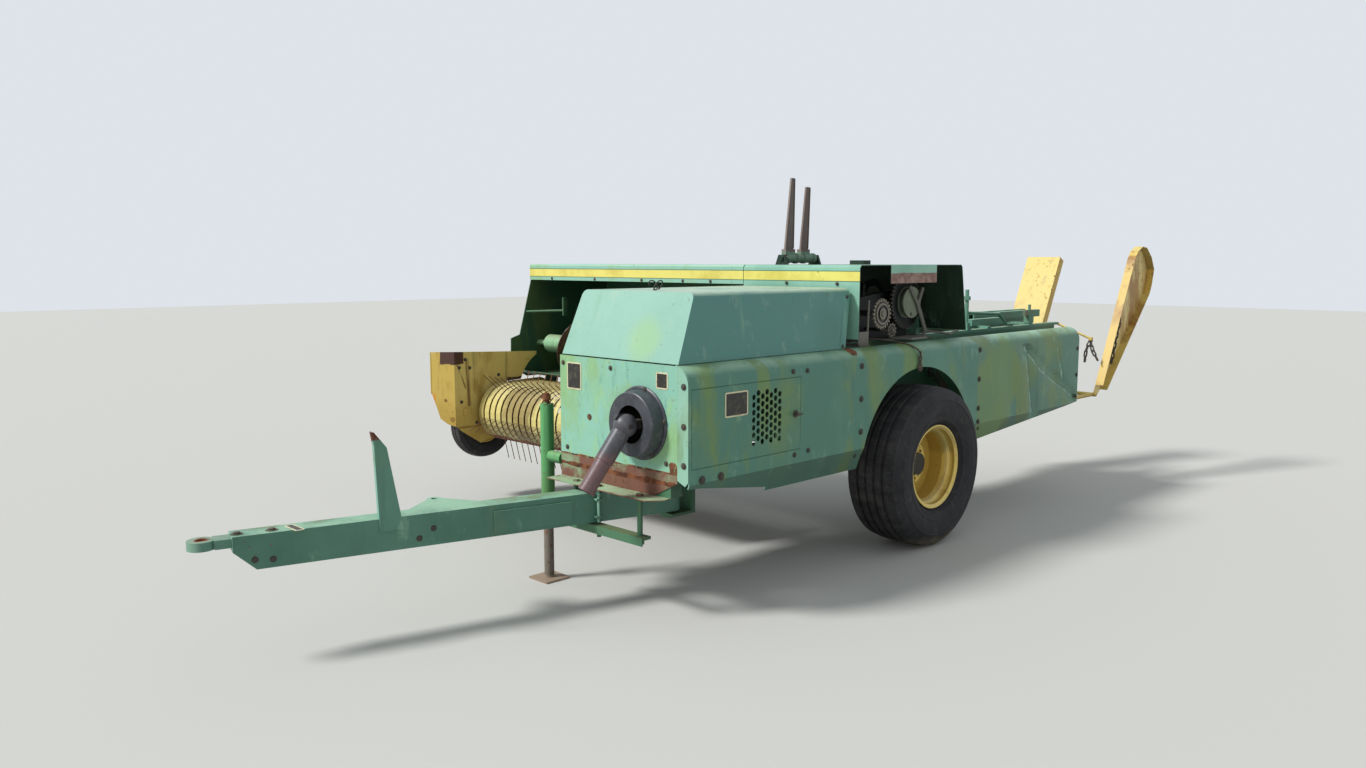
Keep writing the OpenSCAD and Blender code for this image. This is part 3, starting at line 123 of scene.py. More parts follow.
# The tongue is a welded box beam with a forged hitch eye and a rusty-tipped stand plate, all in
# faded green enamel. The finish below serves every painted piece of the machine.
class Nodes:
    """A material's node tree, filled from the pattern towards the shader."""

    def __init__(self, name):
        self.material = bpy.data.materials.new(name)
        self.material.use_nodes = True
        self.tree = self.material.node_tree
        self.shader = self.tree.nodes["Principled BSDF"]
        here = self.tree.nodes.new("ShaderNodeTexCoord")
        self.place = here.outputs["Object"]
        self.facing = self.split(here.outputs["Normal"])
        self.spot = self.split(self.place)

    def split(self, source):
        node = self.tree.nodes.new("ShaderNodeSeparateXYZ")
        self.link(source, node.inputs[0])
        return dict(zip("XYZ", node.outputs))

    def link(self, source, socket):
        if isinstance(source, (int, float, tuple)):
            socket.default_value = source
        else:
            self.tree.links.new(source, socket)

    def math(self, kind, a, b=0.0, c=0.0, clamp=False):
        node = self.tree.nodes.new("ShaderNodeMath")
        node.operation = kind
        node.use_clamp = clamp
        for value, socket in zip((a, b, c), node.inputs):
            self.link(value, socket)
        return node.outputs[0]

    def both(self, a, b):
        return self.math("MULTIPLY", a, b)

    def stretched(self, scale, turn=(0, 0, 0)):
        node = self.tree.nodes.new("ShaderNodeMapping")
        self.link(self.place, node.inputs["Vector"])
        node.inputs["Scale"].default_value = scale
        node.inputs["Rotation"].default_value = turn
        return node.outputs[0]

    def noise(self, size, detail=4.0, rough=0.55, place=None, warp=0.0):
        """A cloudy pattern whose patches are about the given size in metres."""
        node = self.tree.nodes.new("ShaderNodeTexNoise")
        self.link(place or self.place, node.inputs["Vector"])
        node.inputs["Scale"].default_value = 0.5 / size
        node.inputs["Detail"].default_value = detail
        node.inputs["Roughness"].default_value = rough
        node.inputs["Distortion"].default_value = warp
        return node.outputs[0]

    def over(self, value, low, high):
        """0 below low and 1 above high, with a smooth step between; the other way round too."""
        node = self.tree.nodes.new("ShaderNodeMapRange")
        node.interpolation_type = "SMOOTHSTEP"
        self.link(value, node.inputs["Value"])
        for name, end in zip(("From Min", "From Max", "To Min", "To Max"),
                             (low, high, 0, 1) if low < high else (high, low, 1, 0)):
            node.inputs[name].default_value = end
        return node.outputs[0]

    def mix(self, share, a, b):
        node = self.tree.nodes.new("ShaderNodeMix")
        node.data_type = "RGBA"
        self.link(share, node.inputs["Factor"])
        self.link(a, node.inputs["A"])
        self.link(b, node.inputs["B"])
        return node.outputs["Result"]

    def bump(self, height, depth, strength=0.6):
        node = self.tree.nodes.new("ShaderNodeBump")
        self.link(height, node.inputs["Height"])
        node.inputs["Distance"].default_value = depth
        node.inputs["Strength"].default_value = strength
        self.link(node.outputs[0], self.shader.inputs["Normal"])

    def near(self, axis, at, reach):
        """1 at the coordinate, falling to 0 at the reach."""
        away = self.math("ABSOLUTE", self.math("SUBTRACT", self.spot[axis], at))
        return self.math("SUBTRACT", 1.0, self.math("DIVIDE", away, reach), clamp=True)

    def from_axle(self, x, z):
        """The distance from a line across the machine."""
        squares = [self.math("POWER", self.math("SUBTRACT", self.spot[axis], place), 2.0)
                   for axis, place in (("X", x), ("Z", z))]
        return self.math("SQRT", self.math("ADD", *squares))

    def away_from(self, centre):
        """The distance from a place."""
        node = self.tree.nodes.new("ShaderNodeVectorMath")
        node.operation = "DISTANCE"
        self.link(self.place, node.inputs[0])
        self.link(tuple(centre), node.inputs[1])
        return node.outputs["Value"]

    def repaint(self, share, code):
        """Another colour over the coat where the share says."""
        self.coat = self.mix(share, self.coat, shade(code))
        self.link(self.coat, self.shader.inputs["Base Color"])

    def by_line(self, start, end, reach):
        """1 on a line drawn on the machine's side from one (x, z) place to another, 0 at the reach."""
        dx, dz = end[0] - start[0], end[1] - start[1]
        x = self.math("SUBTRACT", self.spot["X"], start[0])
        z = self.math("SUBTRACT", self.spot["Z"], start[1])
        along = self.math("ADD", self.both(x, dx), self.both(z, dz))
        share = self.math("DIVIDE", along, dx * dx + dz * dz, clamp=True)
        off = [self.math("POWER", self.math("SUBTRACT", place, self.both(share, step)), 2.0)
               for place, step in ((x, dx), (z, dz))]
        return self.over(self.math("SQRT", self.math("ADD", *off)), reach, 0.2 * reach)

    def within(self, axis, low, high, soft=0.0006):
        """1 between two coordinates, 0 outside them."""
        return self.both(self.over(self.spot[axis], low - soft, low + soft),
                         self.over(self.spot[axis], high + soft, high - soft))


def rust_on(n, colour, chips, edges=(), patches=()):
    """Rust through the coat: in chips, along edges given as (axis, place, reach), and in round
    patches given as (place, radius). Gives back the colour and the share of rust."""
    speck = n.noise(0.012, 7, 0.68, warp=0.4)
    spread = n.noise(0.22, 3, 0.5)
    rusted = n.both(n.over(speck, 0.67 - 0.1 * chips, 0.71 - 0.08 * chips), n.over(spread, 0.5, 0.66))
    ragged = n.math("SUBTRACT", n.noise(0.035, 7, 0.68), 0.5)
    for axis, at, reach in edges:
        share = n.math("ADD", n.near(axis, at, reach), n.both(ragged, 1.5))
        rusted = n.math("MAXIMUM", rusted, n.over(share, 0.5, 0.6))
    for centre, radius in patches:
        share = n.math("SUBTRACT", 1.0, n.math("DIVIDE", n.away_from(centre), 2 * radius))
        rusted = n.math("MAXIMUM", rusted, n.over(n.math("ADD", share, n.both(ragged, 0.9)), 0.48, 0.56))
    rust = n.mix(n.over(n.noise(0.02, 5, 0.6), 0.35, 0.65), shade("4A281B"), shade("86502F"))
    return n.mix(rusted, colour, rust), rusted


def enamel(name, deep_coat_and_painted_shade, faded_coat_and_painted_light, dusty, blotch, chips=0.4, streaks=0.5, rough=0.5, edges=(), patches=(),
           blotches=1.0, drip=0.3):
    """Old enamel: darker on the sides, where the coat carries painted shade for the sun missing them, and
    paler ahead, sun-bleached and painted lit, dusty on top, with blotches that run down, dark streaks, fine
    dirt, painted shade on the faces that look down, chips and rusty edges."""
    n = Nodes(name)
    cloud = n.noise(0.35, 5, 0.62, warp=0.6)
    # Painted light and shade: faces that look ahead take the paler coat as if sunlit, and the sides take the
    # darker coat as painted shade.
    faded_and_painted_lit_share = n.math("ADD", n.over(n.facing["X"], 0.15, 0.75), n.both(n.math("SUBTRACT", cloud, 0.5), 0.7),
                    clamp=True)
    colour = n.mix(faded_and_painted_lit_share, shade(deep_coat_and_painted_shade), shade(faded_coat_and_painted_light))
    colour = n.mix(n.both(n.over(n.facing["Z"], 0.35, 0.9), n.over(n.noise(0.15, 6, 0.65), 0.2, 0.6)),
                   colour, shade(dusty))
    run = n.noise(0.085, 5, 0.6, n.stretched((1, 1, drip)), 0.5)
    patch = n.noise(0.26, 3, 0.5, warp=0.5)
    wide = 0.06 * (blotches - 1)
    share = n.both(n.over(run, 0.46 - wide, 0.6 - wide), n.over(patch, 0.44 - wide, 0.58 - wide))
    colour = n.mix(n.both(share, 0.8), colour, shade(blotch))
    scuff = n.both(n.over(n.noise(0.05, 7, 0.72, n.stretched((1, 1, 0.5))), 0.56, 0.7), 0.35)
    colour = n.mix(scuff, colour, shade(dusty))
    grime = n.both(n.over(n.noise(0.03, 6, 0.68, n.stretched((1, 1, 0.08))), 0.56, 0.74), streaks * 0.7)
    colour = n.mix(grime, colour, shade("3D4034"))
    dirt = n.both(n.over(n.noise(0.008, 6, 0.7), 0.55, 0.78), 0.28)
    colour = n.mix(dirt, colour, shade("6B6552"))
    # Painted shade: the faces that look down are darkened towards a dark green.
    colour = n.mix(n.both(n.over(n.facing["Z"], -0.12, -0.34), 0.5), colour, shade("2A3A2E"))
    colour, rusted = rust_on(n, colour, chips, edges, patches)
    n.coat = colour
    n.link(colour, n.shader.inputs["Base Color"])
    n.link(n.math("MULTIPLY_ADD", rusted, 0.3, n.math("MULTIPLY_ADD", cloud, 0.2, rough - 0.1)),
           n.shader.inputs["Roughness"])
    n.bump(n.math("ADD", n.both(rusted, 0.6), n.both(n.noise(0.006, 3), 0.25)), 0.0012)
    return n


def dress(finish, *names):
    """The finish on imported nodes, which keep their shapes."""
    for name in names:
        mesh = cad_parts[name].data
        mesh.materials.clear()
        mesh.materials.append(finish)


AXLE_X = -0.256  # the left wheel's axle
SHIELD_Y = 1.226  # the left shield's outer face


def at(x, y, z):
    """A place measured ahead of the left wheel's axle and left of the left shield's face."""
    return Vector((AXLE_X + x, SHIELD_Y + y, z))


def add(kind, name, **how):
    """A primitive to start a piece from, with nothing else selected."""
    bpy.ops.object.select_all(action="DESELECT")
    getattr(bpy.ops.mesh, "primitive_%s_add" % kind)(**how)
    bpy.context.object.name = name
    return bpy.context.object


def pick(piece, test, kind="FACE"):
    """In edit mode, just the faces or edges that pass the test."""
    bpy.ops.object.mode_set(mode="EDIT")
    bpy.ops.mesh.select_mode(type=kind)
    bpy.ops.mesh.select_all(action="DESELECT")
    bpy.ops.object.mode_set(mode="OBJECT")
    for part in {"FACE": piece.data.polygons, "EDGE": piece.data.edges}[kind]:
        part.select = test(part)
    bpy.ops.object.mode_set(mode="EDIT")


def finished(piece, finish, body, angle=40):
    """The place goes into the mesh, the finish on it, and the piece rides on its body."""
    bpy.ops.object.mode_set(mode="OBJECT")
    bpy.ops.object.transform_apply(location=True, rotation=True, scale=True)
    bpy.ops.object.shade_smooth_by_angle(angle=math.radians(angle))
    piece.data.materials.clear()
    piece.data.materials.append(finish)
    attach(piece, body)
    return piece


def bolts(name, spots, way, radius, body="chassis"):
    """Round bolt heads on washers: one is pressed from a disc, and the others are its copies."""
    turn = Vector(way).to_track_quat("Z", "Y").to_euler()
    head = add("cylinder", name, vertices=16, radius=1.7 * radius, depth=0.003, location=spots[0],
               rotation=turn)
    pick(head, lambda face: face.normal.z > 0.9)
    bpy.ops.mesh.inset(thickness=0.7 * radius)
    bpy.ops.mesh.extrude_region_shrink_fatten(TRANSFORM_OT_shrink_fatten={"value": 0.55 * radius})
    bpy.ops.mesh.bevel(offset=0.3 * radius, segments=2)
    bpy.ops.object.mode_set(mode="OBJECT")
    copies = [head]
    for spot in spots[1:]:
        bpy.ops.object.duplicate(linked=False)
        bpy.ops.transform.translate(value=Vector(spot) - Vector(bpy.context.object.location))
        copies.append(bpy.context.object)
    for copy in copies:
        copy.select_set(True)
    bpy.context.view_layer.objects.active = head
    if len(copies) > 1:
        bpy.ops.object.join()
    return finished(head, dark_iron.material, body)


TONGUE_PIVOT = (1.38, -0.444)
TONGUE_TURN = math.radians(-14.6)  # swung to the right, as it is parked
TONGUE_TOP = 0.465


def along_tongue(x, y, z):
    """A place on the tongue, measured ahead of its pivot pin and left of its middle."""
    cos, sin = math.cos(TONGUE_TURN), math.sin(TONGUE_TURN)
    return at(TONGUE_PIVOT[0] + x * cos - y * sin, TONGUE_PIVOT[1] + x * sin + y * cos, z)


tongue_green = enamel("tongue_green", "40705F", "8ABBA2", "93BC9E", "6B7A52", chips=0.55, streaks=0.35)
stand_green = enamel("stand_green", "4A7A68", "7FB3A0", "A5C9AE", "6B8A62", chips=0.6, streaks=0.4,
                     edges=(("Z", 0.80, 0.105),))
dress(tongue_green.material, "tongue_beam")
dress(stand_green.material, "tongue_stand")
eye_iron = enamel("eye_iron", "55806F", "7FA48F", "8CA08A", "5C4636", chips=0.9, streaks=0.4, rough=0.6,
                  patches=((at(3.17, -0.91, 0.441), 0.034),))
dress(eye_iron.material, "hitch_eye")
dark_iron = enamel("dark_iron", "3A3630", "4A443C", "6A6353", "5A4130", chips=0.9, streaks=0.2, rough=0.62)
bolts("tongue_top_bolts", [along_tongue(1.735, 0.008, TONGUE_TOP), along_tongue(1.62, 0.012, TONGUE_TOP)],
      (0, 0, 1), 0.013, "tongue")
bolts("tongue_side_bolts", [along_tongue(x, 0.05, z) for x, z in ((1.685, 0.376), (1.625, 0.37),
                                                                  (1.051, 0.405), (1.106, 0.373))],
      along_tongue(0, 1, 0) - along_tongue(0, 0, 0), 0.007, "tongue")


# The pale blank plates are pressed tin, riveted on: one on the tongue, two on the front face and
# one on the service door. Each is a thin sheet with a rounded border round a sunken panel.
def printed_tin(name, print_colour, worn_colour):
    """Printed tin, scuffed through its colour in small spots."""
    if name in bpy.data.materials:
        return bpy.data.materials[name]
    n = Nodes(name)
    worn = n.over(n.noise(0.01, 6, 0.7), 0.5, 0.7)
    n.link(n.mix(worn, shade(print_colour), shade(worn_colour)), n.shader.inputs["Base Color"])
    n.link(n.math("MULTIPLY_ADD", worn, 0.25, 0.4), n.shader.inputs["Roughness"])
    n.bump(n.noise(0.01, 3), 0.0004)
    return n.material


def blank_plate(name, middle, way, wide, high, body):
    """A tin plate facing the given way, its border pale and its sunken panel dark."""
    turn = Vector(way).to_track_quat("Z", "Y").to_euler()
    plate = add("cube", name, size=1, location=middle, rotation=turn, scale=(wide, high, 0.0016))
    bpy.ops.object.transform_apply(location=False, rotation=False, scale=True)
    corners = plate.data.vertices
    pick(plate, lambda edge: abs((corners[edge.vertices[0]].co - corners[edge.vertices[1]].co).z) > 0.001,
         "EDGE")
    bpy.ops.mesh.bevel(offset=0.008, segments=3)
    pick(plate, lambda face: face.normal.z > 0.9)
    bpy.ops.mesh.inset(thickness=0.006)
    bpy.ops.mesh.extrude_region_shrink_fatten(TRANSFORM_OT_shrink_fatten={"value": -0.0006})
    finished(plate, printed_tin("tin_border", "D9D2AE", "A39C7C"), body)
    plate.data.materials.append(printed_tin("tin_panel", "26241F", "5E5A48"))
    for face in plate.data.polygons:
        if face.normal.dot(Vector(way)) > 0.99 and len(face.vertices) > 8:
            face.material_index = 1


LEFT = (0, 1, 0)
AHEAD = (1, 0, 0)
FACE_X = 1.704
blank_plate("face_plate_right", at(FACE_X + 0.0008, -0.679, 0.930), AHEAD, 0.094, 0.115, "chassis")
blank_plate("face_plate_left", at(FACE_X + 0.0008, -0.143, 0.952), AHEAD, 0.067, 0.066, "chassis")
blank_plate("door_plate", at(1.4335, 0.0008, 0.85), LEFT, 0.135, 0.1, "door")
blank_plate("tongue_plate", along_tongue(1.545, 0.02, TONGUE_TOP + 0.0008), (0, 0, 1), 0.035, 0.1, "tongue")


# The frame under the front end is two channels with cross members, a shelf bracket for the tongue
# and the axle beam with its posts: rolled steel, painted, muddy and rusting at its lower edges.
frame_green = enamel("frame_green", "33573F", "4A7857", "6E7F5A", "4F5B38",
                     chips=0.7, streaks=0.5, rough=0.6).material
dress(frame_green, "main_frame", "axle_beam", "tongue_bracket")
dress(dark_iron.material, "gearbox", "drive_yoke")


# The parking jack is a green tube on a stub pipe, with a grey leg on a flat foot and a rusty pin
# and spindle at its top.
jack_green = enamel("jack_green", "3F7A45", "5FA866", "7FA870", "5F8A50", chips=0.4, streaks=0.5, rough=0.5,
                    edges=(("Z", 0.345, 0.02), ("Z", 0.84, 0.09)))
jack_iron = enamel("jack_iron", "5F5850", "7A7265", "8A8272", "5A4130", chips=0.9, streaks=0.5, rough=0.6)
height = jack_iron.math("ADD", jack_iron.spot["Z"], jack_iron.both(jack_iron.noise(0.03, 6), 0.02))
jack_iron.repaint(jack_iron.over(height, 0.034, 0.024), "9A8672")
dress(jack_green.material, "jack_tube")
dress(jack_iron.material, "jack_leg")
collar = add("cylinder", "jack_collar", vertices=32, radius=0.045, depth=0.03,
             location=at(1.69, -0.89, 0.356))
pick(collar, lambda face: abs(face.normal.z) > 0.9)
bpy.ops.mesh.inset(thickness=0.006)
bpy.ops.mesh.bevel(offset=0.002, segments=2)
finished(collar, jack_green.material, "chassis")


# The front face is sheet steel in the palest green, sun-bleached and painted lit as it faces ahead, blotched
# and rust-spotted, over a rusty apron.
# Screws hold it along its top, bolts along the corner strip, and large nuts the tongue's shelf.
front = enamel("face_green", "538875", "90C6B0", "A5C9AE", "8FB877", chips=0.5, streaks=0.45, rough=0.52,
               edges=(("Z", 0.592, 0.013),), blotches=1.9, drip=0.62,
               patches=((at(FACE_X, -0.58, 0.765), 0.014), (at(FACE_X, -0.075, 0.61), 0.03)))
dabs = front.over(front.noise(0.022, 7, 0.68, front.stretched((1, 1, 0.45)), 0.3), 0.53, 0.62)
front.repaint(front.both(dabs, 0.5), "9CC98C")
dabs = front.over(front.noise(0.03, 7, 0.7, front.stretched((1, 1.4, 0.4)), 0.2), 0.56, 0.64)
front.repaint(front.both(dabs, 0.45), "6FA592")
specks = front.over(front.noise(0.006, 5, 0.6), 0.70, 0.73)
front.repaint(front.both(specks, 0.8), "6B4630")
dress(front.material, "front_face")
apron_rust = enamel("apron_rust", "6B4A3C", "7C5040", "A8C29A", "93B78E", chips=1.0, streaks=0.5, rough=0.7,
                    edges=(("Z", 0.55, 0.02),), blotches=1.9, drip=0.8)
dress(apron_rust.material, "front_apron")
bolts("face_screws", [at(FACE_X + 0.0015, y, z) for y, z in ((-0.752, 0.982), (-0.445, 0.98), (-0.73, 0.62),
                                                    (-0.12, 0.63))], AHEAD, 0.006)
bolts("corner_bolts", [at(FACE_X + 0.0015, -0.024, z) for z in (0.938, 0.785, 0.634)], AHEAD, 0.0075)


# The driveline: a moulded plastic bell on the face, held by five bolts round its flange, and the
# grey tube guard that hangs from the joint inside it, its lower half rubbed to a brownish mauve.
def plastic(name, cool, warm, scuffed, warm_from=None):
    """Sun-bleached plastic, scuffed in patches and turning to the warm tone under a height."""
    n = Nodes(name)
    colour = n.mix(n.over(n.noise(0.06, 6, 0.65, warp=0.5), 0.35, 0.7), shade(cool), shade(scuffed))
    if warm_from:
        lower = n.math("ADD", n.over(n.spot["Z"], warm_from, warm_from - 0.14),
                       n.both(n.math("SUBTRACT", n.noise(0.05, 6, 0.65), 0.5), 0.9))
        colour = n.mix(n.over(lower, 0.4, 0.75), colour, shade(warm))
    dust = n.both(n.over(n.noise(0.012, 7, 0.7), 0.5, 0.75), 0.35)
    n.link(n.mix(dust, colour, shade("8C8A86")), n.shader.inputs["Base Color"])
    n.link(n.math("MULTIPLY_ADD", dust, 0.5, 0.42), n.shader.inputs["Roughness"])
    n.bump(n.noise(0.004, 4, 0.6), 0.0006)
    return n.material


dress(plastic("bell_plastic", "36383E", "6E5E62", "45474E"), "driveline_bell")
dress(plastic("tube_plastic", "44454A", "6A4E50", "56545A", 0.75), "driveline_tube")
BELL_RING = 0.139  # the bolts' distance from the bell's middle
bolts("bell_bolts", [at(FACE_X + 0.0095, -0.262 + BELL_RING * math.cos(a), 0.775 + BELL_RING * math.sin(a))
                     for a in [math.radians(turn) for turn in (8, 78, 152, 226, 300)]], AHEAD, 0.0065)


# The left side shields are three sheets with a rolled top and a tucked lower flap, bolted to straps
# along the seams. The enamel is darker here, partly its own tone and partly painted shade, with long
# yellow-green streaks.
side_green = enamel("side_green", "4C806E", "96C4AC", "9CC2A6", "708C4A", chips=0.35, streaks=0.4, rough=0.45,
                    edges=(("X", 1.454, 0.006),), patches=((at(0.62, -0.05, 1.0), 0.035),), blotches=1.25)
dress(side_green.material, "side_shield_front", "side_door", "side_shield_arch", "right_side_panel")
rear = enamel("rear_green", "568270", "96C4AC", "9CC2A6", "748A50", chips=0.45, streaks=0.5, rough=0.5,
              blotches=1.9)
sunny = rear.math("ADD", rear.by_line((-0.95, 0.78), (-0.80, 0.62), 0.34),
                  rear.both(rear.noise(0.06, 6, 0.6), 0.9))
rear.repaint(rear.both(rear.over(sunny, 0.75, 1.0), 0.7), "6F8E56")
# Painted highlights along the creases, each with a painted shadow just behind it.
for start, end in (((-1.23, 0.935), (-1.40, 0.80)), ((-1.40, 0.80), (-1.86, 0.60)),
                   ((-1.25, 0.88), (-1.33, 0.56)), ((-1.62, 0.90), (-1.70, 0.72))):
    painted_crease_highlight = rear.both(rear.by_line(start, end, 0.011), rear.over(rear.noise(0.03, 6, 0.7), 0.35, 0.6))
    rear.repaint(rear.both(painted_crease_highlight, 0.75), "A9CDBA")
    shadow = rear.by_line((start[0] - 0.014, start[1]), (end[0] - 0.014, end[1]), 0.014)
    rear.repaint(rear.both(shadow, 0.35), "33544A")


def dented_sheet(source, name, dents, finish, body):
    """A copy of a sheet whose flat side is pushed in and out round a few knocks and creases."""
    bpy.ops.object.select_all(action="DESELECT")
    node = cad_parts[source]
    sheet = bpy.data.objects.new(name, node.data.copy())
    bpy.context.scene.collection.objects.link(sheet)
    sheet.matrix_world = node.matrix_world
    sheet.select_set(True)
    bpy.context.view_layer.objects.active = sheet
    bpy.ops.object.mode_set(mode="EDIT")
    bpy.ops.mesh.select_mode(type="VERT")
    bpy.ops.mesh.select_all(action="SELECT")
    bpy.ops.mesh.remove_doubles(threshold=0.00005)
    bpy.ops.mesh.tris_convert_to_quads()
    low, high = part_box(source)
    columns, rows, lowest, row = 40, 16, 0.56, 0.024
    for k in range(1, columns):
        bpy.ops.mesh.select_all(action="SELECT")
        bpy.ops.mesh.bisect(plane_co=(low[0] + k * (high[0] - low[0]) / columns, 0, 0), plane_no=(1, 0, 0))
    for k in range(1, rows):
        bpy.ops.mesh.select_all(action="SELECT")
        bpy.ops.mesh.bisect(plane_co=(0, 0, lowest + k * row), plane_no=(0, 0, 1))
    bpy.ops.object.mode_set(mode="OBJECT")
    for corner in sheet.data.vertices:
        x, y, z = corner.co
        if y <= SHIELD_Y - 0.006 or z >= 0.95 or not low[0] + 0.02 < x < high[0] - 0.03:
            continue
        for start, end, reach, depth in dents:
            line = Vector((end[0] - start[0], end[1] - start[1]))
            to = Vector((x - start[0], z - start[1]))
            share = max(0, min(1, to.dot(line) / line.length_squared))
            corner.co.y += depth * math.exp(-((to - share * line).length / reach) ** 2)
    finished(sheet, finish, body, 25)
    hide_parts(source)


dented_sheet("side_shield_rear", "side_shield_rear_dented",
             (((-1.25, 0.90), (-1.35, 0.54), 0.035, -0.014), ((-1.22, 0.93), (-1.86, 0.60), 0.03, -0.015),
              ((-1.05, 0.80), (-1.10, 0.65), 0.08, -0.008), ((-1.55, 0.85), (-1.62, 0.72), 0.07, -0.010)),
             rear.material, "chassis")
SHEET_FACE = 0.0012
bolts("front_seam_bolts", [at(0.592, SHEET_FACE, z) for z in (0.64, 0.79, 0.94)], LEFT, 0.0085)
bolts("rear_seam_bolts", [at(-0.46, SHEET_FACE, z) for z in (0.572, 0.642, 0.796, 0.95)], LEFT, 0.0085)
bolts("door_frame_bolts", [at(x, SHEET_FACE, z) for x, z in ((0.986, 0.949), (1.081, 0.952), (0.974, 0.604),
                                                             (1.067, 0.596))], LEFT, 0.0065)
bolts("rear_edge_bolts", [at(-1.62, SHEET_FACE, z) for z in (0.60, 0.73, 0.89)], LEFT, 0.0075)
bolts("low_edge_bolts", [at(x, SHEET_FACE, 0.572) for x in (1.629, 1.523)], LEFT, 0.010)
FLAP_LEAN = (0, 0.945, -0.328)
bolts("flap_bolts", [at(x, -0.010, 0.532) for x in (0.62, -0.48)], FLAP_LEAN, 0.0065)


# The door's turn latch: a thumb piece on a round plate, and the staple it turns behind.
latch = add("cylinder", "door_latch", vertices=24, radius=0.016, depth=0.003,
            location=at(1.063, 0.0015, 0.772), rotation=(-math.pi / 2, 0, 0))
pick(latch, lambda face: face.normal.z > 0.9)
bpy.ops.mesh.inset(thickness=0.009)
bpy.ops.mesh.extrude_region_shrink_fatten(TRANSFORM_OT_shrink_fatten={"value": 0.014})
bpy.ops.mesh.extrude_region_shrink_fatten(TRANSFORM_OT_shrink_fatten={"value": 0.007})
bpy.ops.transform.resize(value=(3.4, 1, 0.8))
bpy.ops.mesh.bevel(offset=0.0015, segments=2)
finished(latch, dark_iron.material, "door")


# The hood over the flywheel: a folded sheet lid, palest on its front slope, where the coat is sun-bleached
# and painted lit, with a seam strap down its side near the back and two wire loops on top by which it is
# lifted.
hood = enamel("hood_green", "528A80", "94C0AE", "ACC4AC", "7FAE8C", chips=0.3, streaks=0.12, rough=0.42,
              blotches=0.5)
for spot, size, code in ((at(1.66, -0.30, 1.10), 0.11, "9CC488"), (at(0.75, -0.07, 1.10), 0.12, "4A7E70")):
    edge = hood.math("ADD", hood.away_from(spot), hood.both(hood.noise(0.09, 5, 0.6), 0.12))
    hood.repaint(hood.both(hood.over(edge, size + 0.08, size * 0.4 + 0.06), 0.6), code)
dress(hood.material, "flywheel_hood")
strap = add("cube", "hood_rear_strap", size=1, location=at(0.629, -0.0725, 1.14), scale=(0.042, 0.003, 0.238),
            rotation=(math.atan2(22, 296), -math.atan2(60, 270), 0))
pick(strap, lambda face: True)
bpy.ops.mesh.bevel(offset=0.0012, segments=2)
finished(strap, hood.material, "hood")
bolts("hood_strap_bolts", [at(0.655, -0.0625, 1.03), at(0.605, -0.0775, 1.25)], LEFT, 0.005, "hood")


def wire(name, points, thick, body="chassis"):
    """A bent wire or rod through the points, round in section."""
    line = bpy.data.curves.new(name, "CURVE")
    line.dimensions = "3D"
    line.bevel_depth = thick
    line.bevel_resolution = 3
    line.use_fill_caps = True
    run = line.splines.new("NURBS")
    run.points.add(len(points) - 1)
    for point, place in zip(run.points, points):
        point.co = (*place, 1)
    run.order_u = 3
    run.use_endpoint_u = True
    run.resolution_u = 6
    piece = bpy.data.objects.new(name, line)
    bpy.context.scene.collection.objects.link(piece)
    bpy.ops.object.select_all(action="DESELECT")
    piece.select_set(True)
    bpy.context.view_layer.objects.active = piece
    bpy.ops.object.convert(target="MESH")
    return finished(bpy.context.object, dark_iron.material, body)


for k, y in enumerate((-0.335, -0.365)):
    wire("hood_loop_%d" % k, [at(1.54 + 0.02 * math.cos(a), y + 0.014 * math.sin(a),
                                 1.2935 + 0.02 * (1 + math.sin(a + k)))
                              for a in [math.radians(t) for t in range(-60, 241, 30)]], 0.0028, "hood")


# A black wire runs from the knotters over the shield's rolled top, and ends in a few links and a
# spring pin that hang on the shield above the tyre.
wire("shield_wire", [at(*place) for place in (
    (0.42, -0.24, 1.03), (0.34, -0.19, 1.035), (0.27, -0.13, 1.04), (0.20, -0.085, 1.024),
    (0.156, -0.042, 1.014), (0.136, -0.010, 0.994), (0.128, 0.004, 0.982), (0.126, 0.006, 0.972))], 0.0038)
LINK_WIRE = 0.0034
for k in range(4):
    middle = at(0.125, 0.010, 0.964 - 0.019 * k)
    side = Vector((0.010, 0, 0)) if k % 2 else Vector((0.005, 0.005, 0))
    wire("hanging_link_%d" % k, [middle + side * math.cos(a) + Vector((0, 0, 0.014)) * math.sin(a)
                                 for a in [math.radians(t) for t in range(0, 361, 45)]], LINK_WIRE)
wire("spring_pin", [at(0.125, 0.010, 0.898) + Vector((0.016 * math.sin(a), 0, 0.013 * math.cos(a)))
                    for a in [math.radians(t) for t in range(0, 331, 30)]], LINK_WIRE)


# An angle rail on the frame's cross members, inside the left shield, that stiffens it.
for name, middle, size in (("foot", at(1.294, -0.166, 0.5835), (0.788, 0.05, 0.006)),
                           ("wall", at(1.294, -0.144, 0.61), (0.788, 0.006, 0.056))):
    leg = add("cube", "shield_rail_" + name, size=1, location=middle, scale=size)
    pick(leg, lambda face: True)
    bpy.ops.mesh.bevel(offset=0.0015, segments=2)
    finished(leg, frame_green, "chassis")


# Folded stops behind the door's edges, spot-welded to the shield, which the door shuts against.
for name, middle, size in (("rear", at(1.0265, -0.0049, 0.773), (0.018, 0.0016, 0.32)),
                           ("low", at(1.355, -0.0049, 0.6165), (0.64, 0.0016, 0.018)),
                           ("high", at(1.355, -0.0049, 0.9295), (0.64, 0.0016, 0.018))):
    stop = add("cube", "door_stop_" + name, size=1, location=middle, scale=size)
    pick(stop, lambda face: True)
    bpy.ops.mesh.bevel(offset=0.0006, segments=2)
    finished(stop, side_green.material, "chassis")


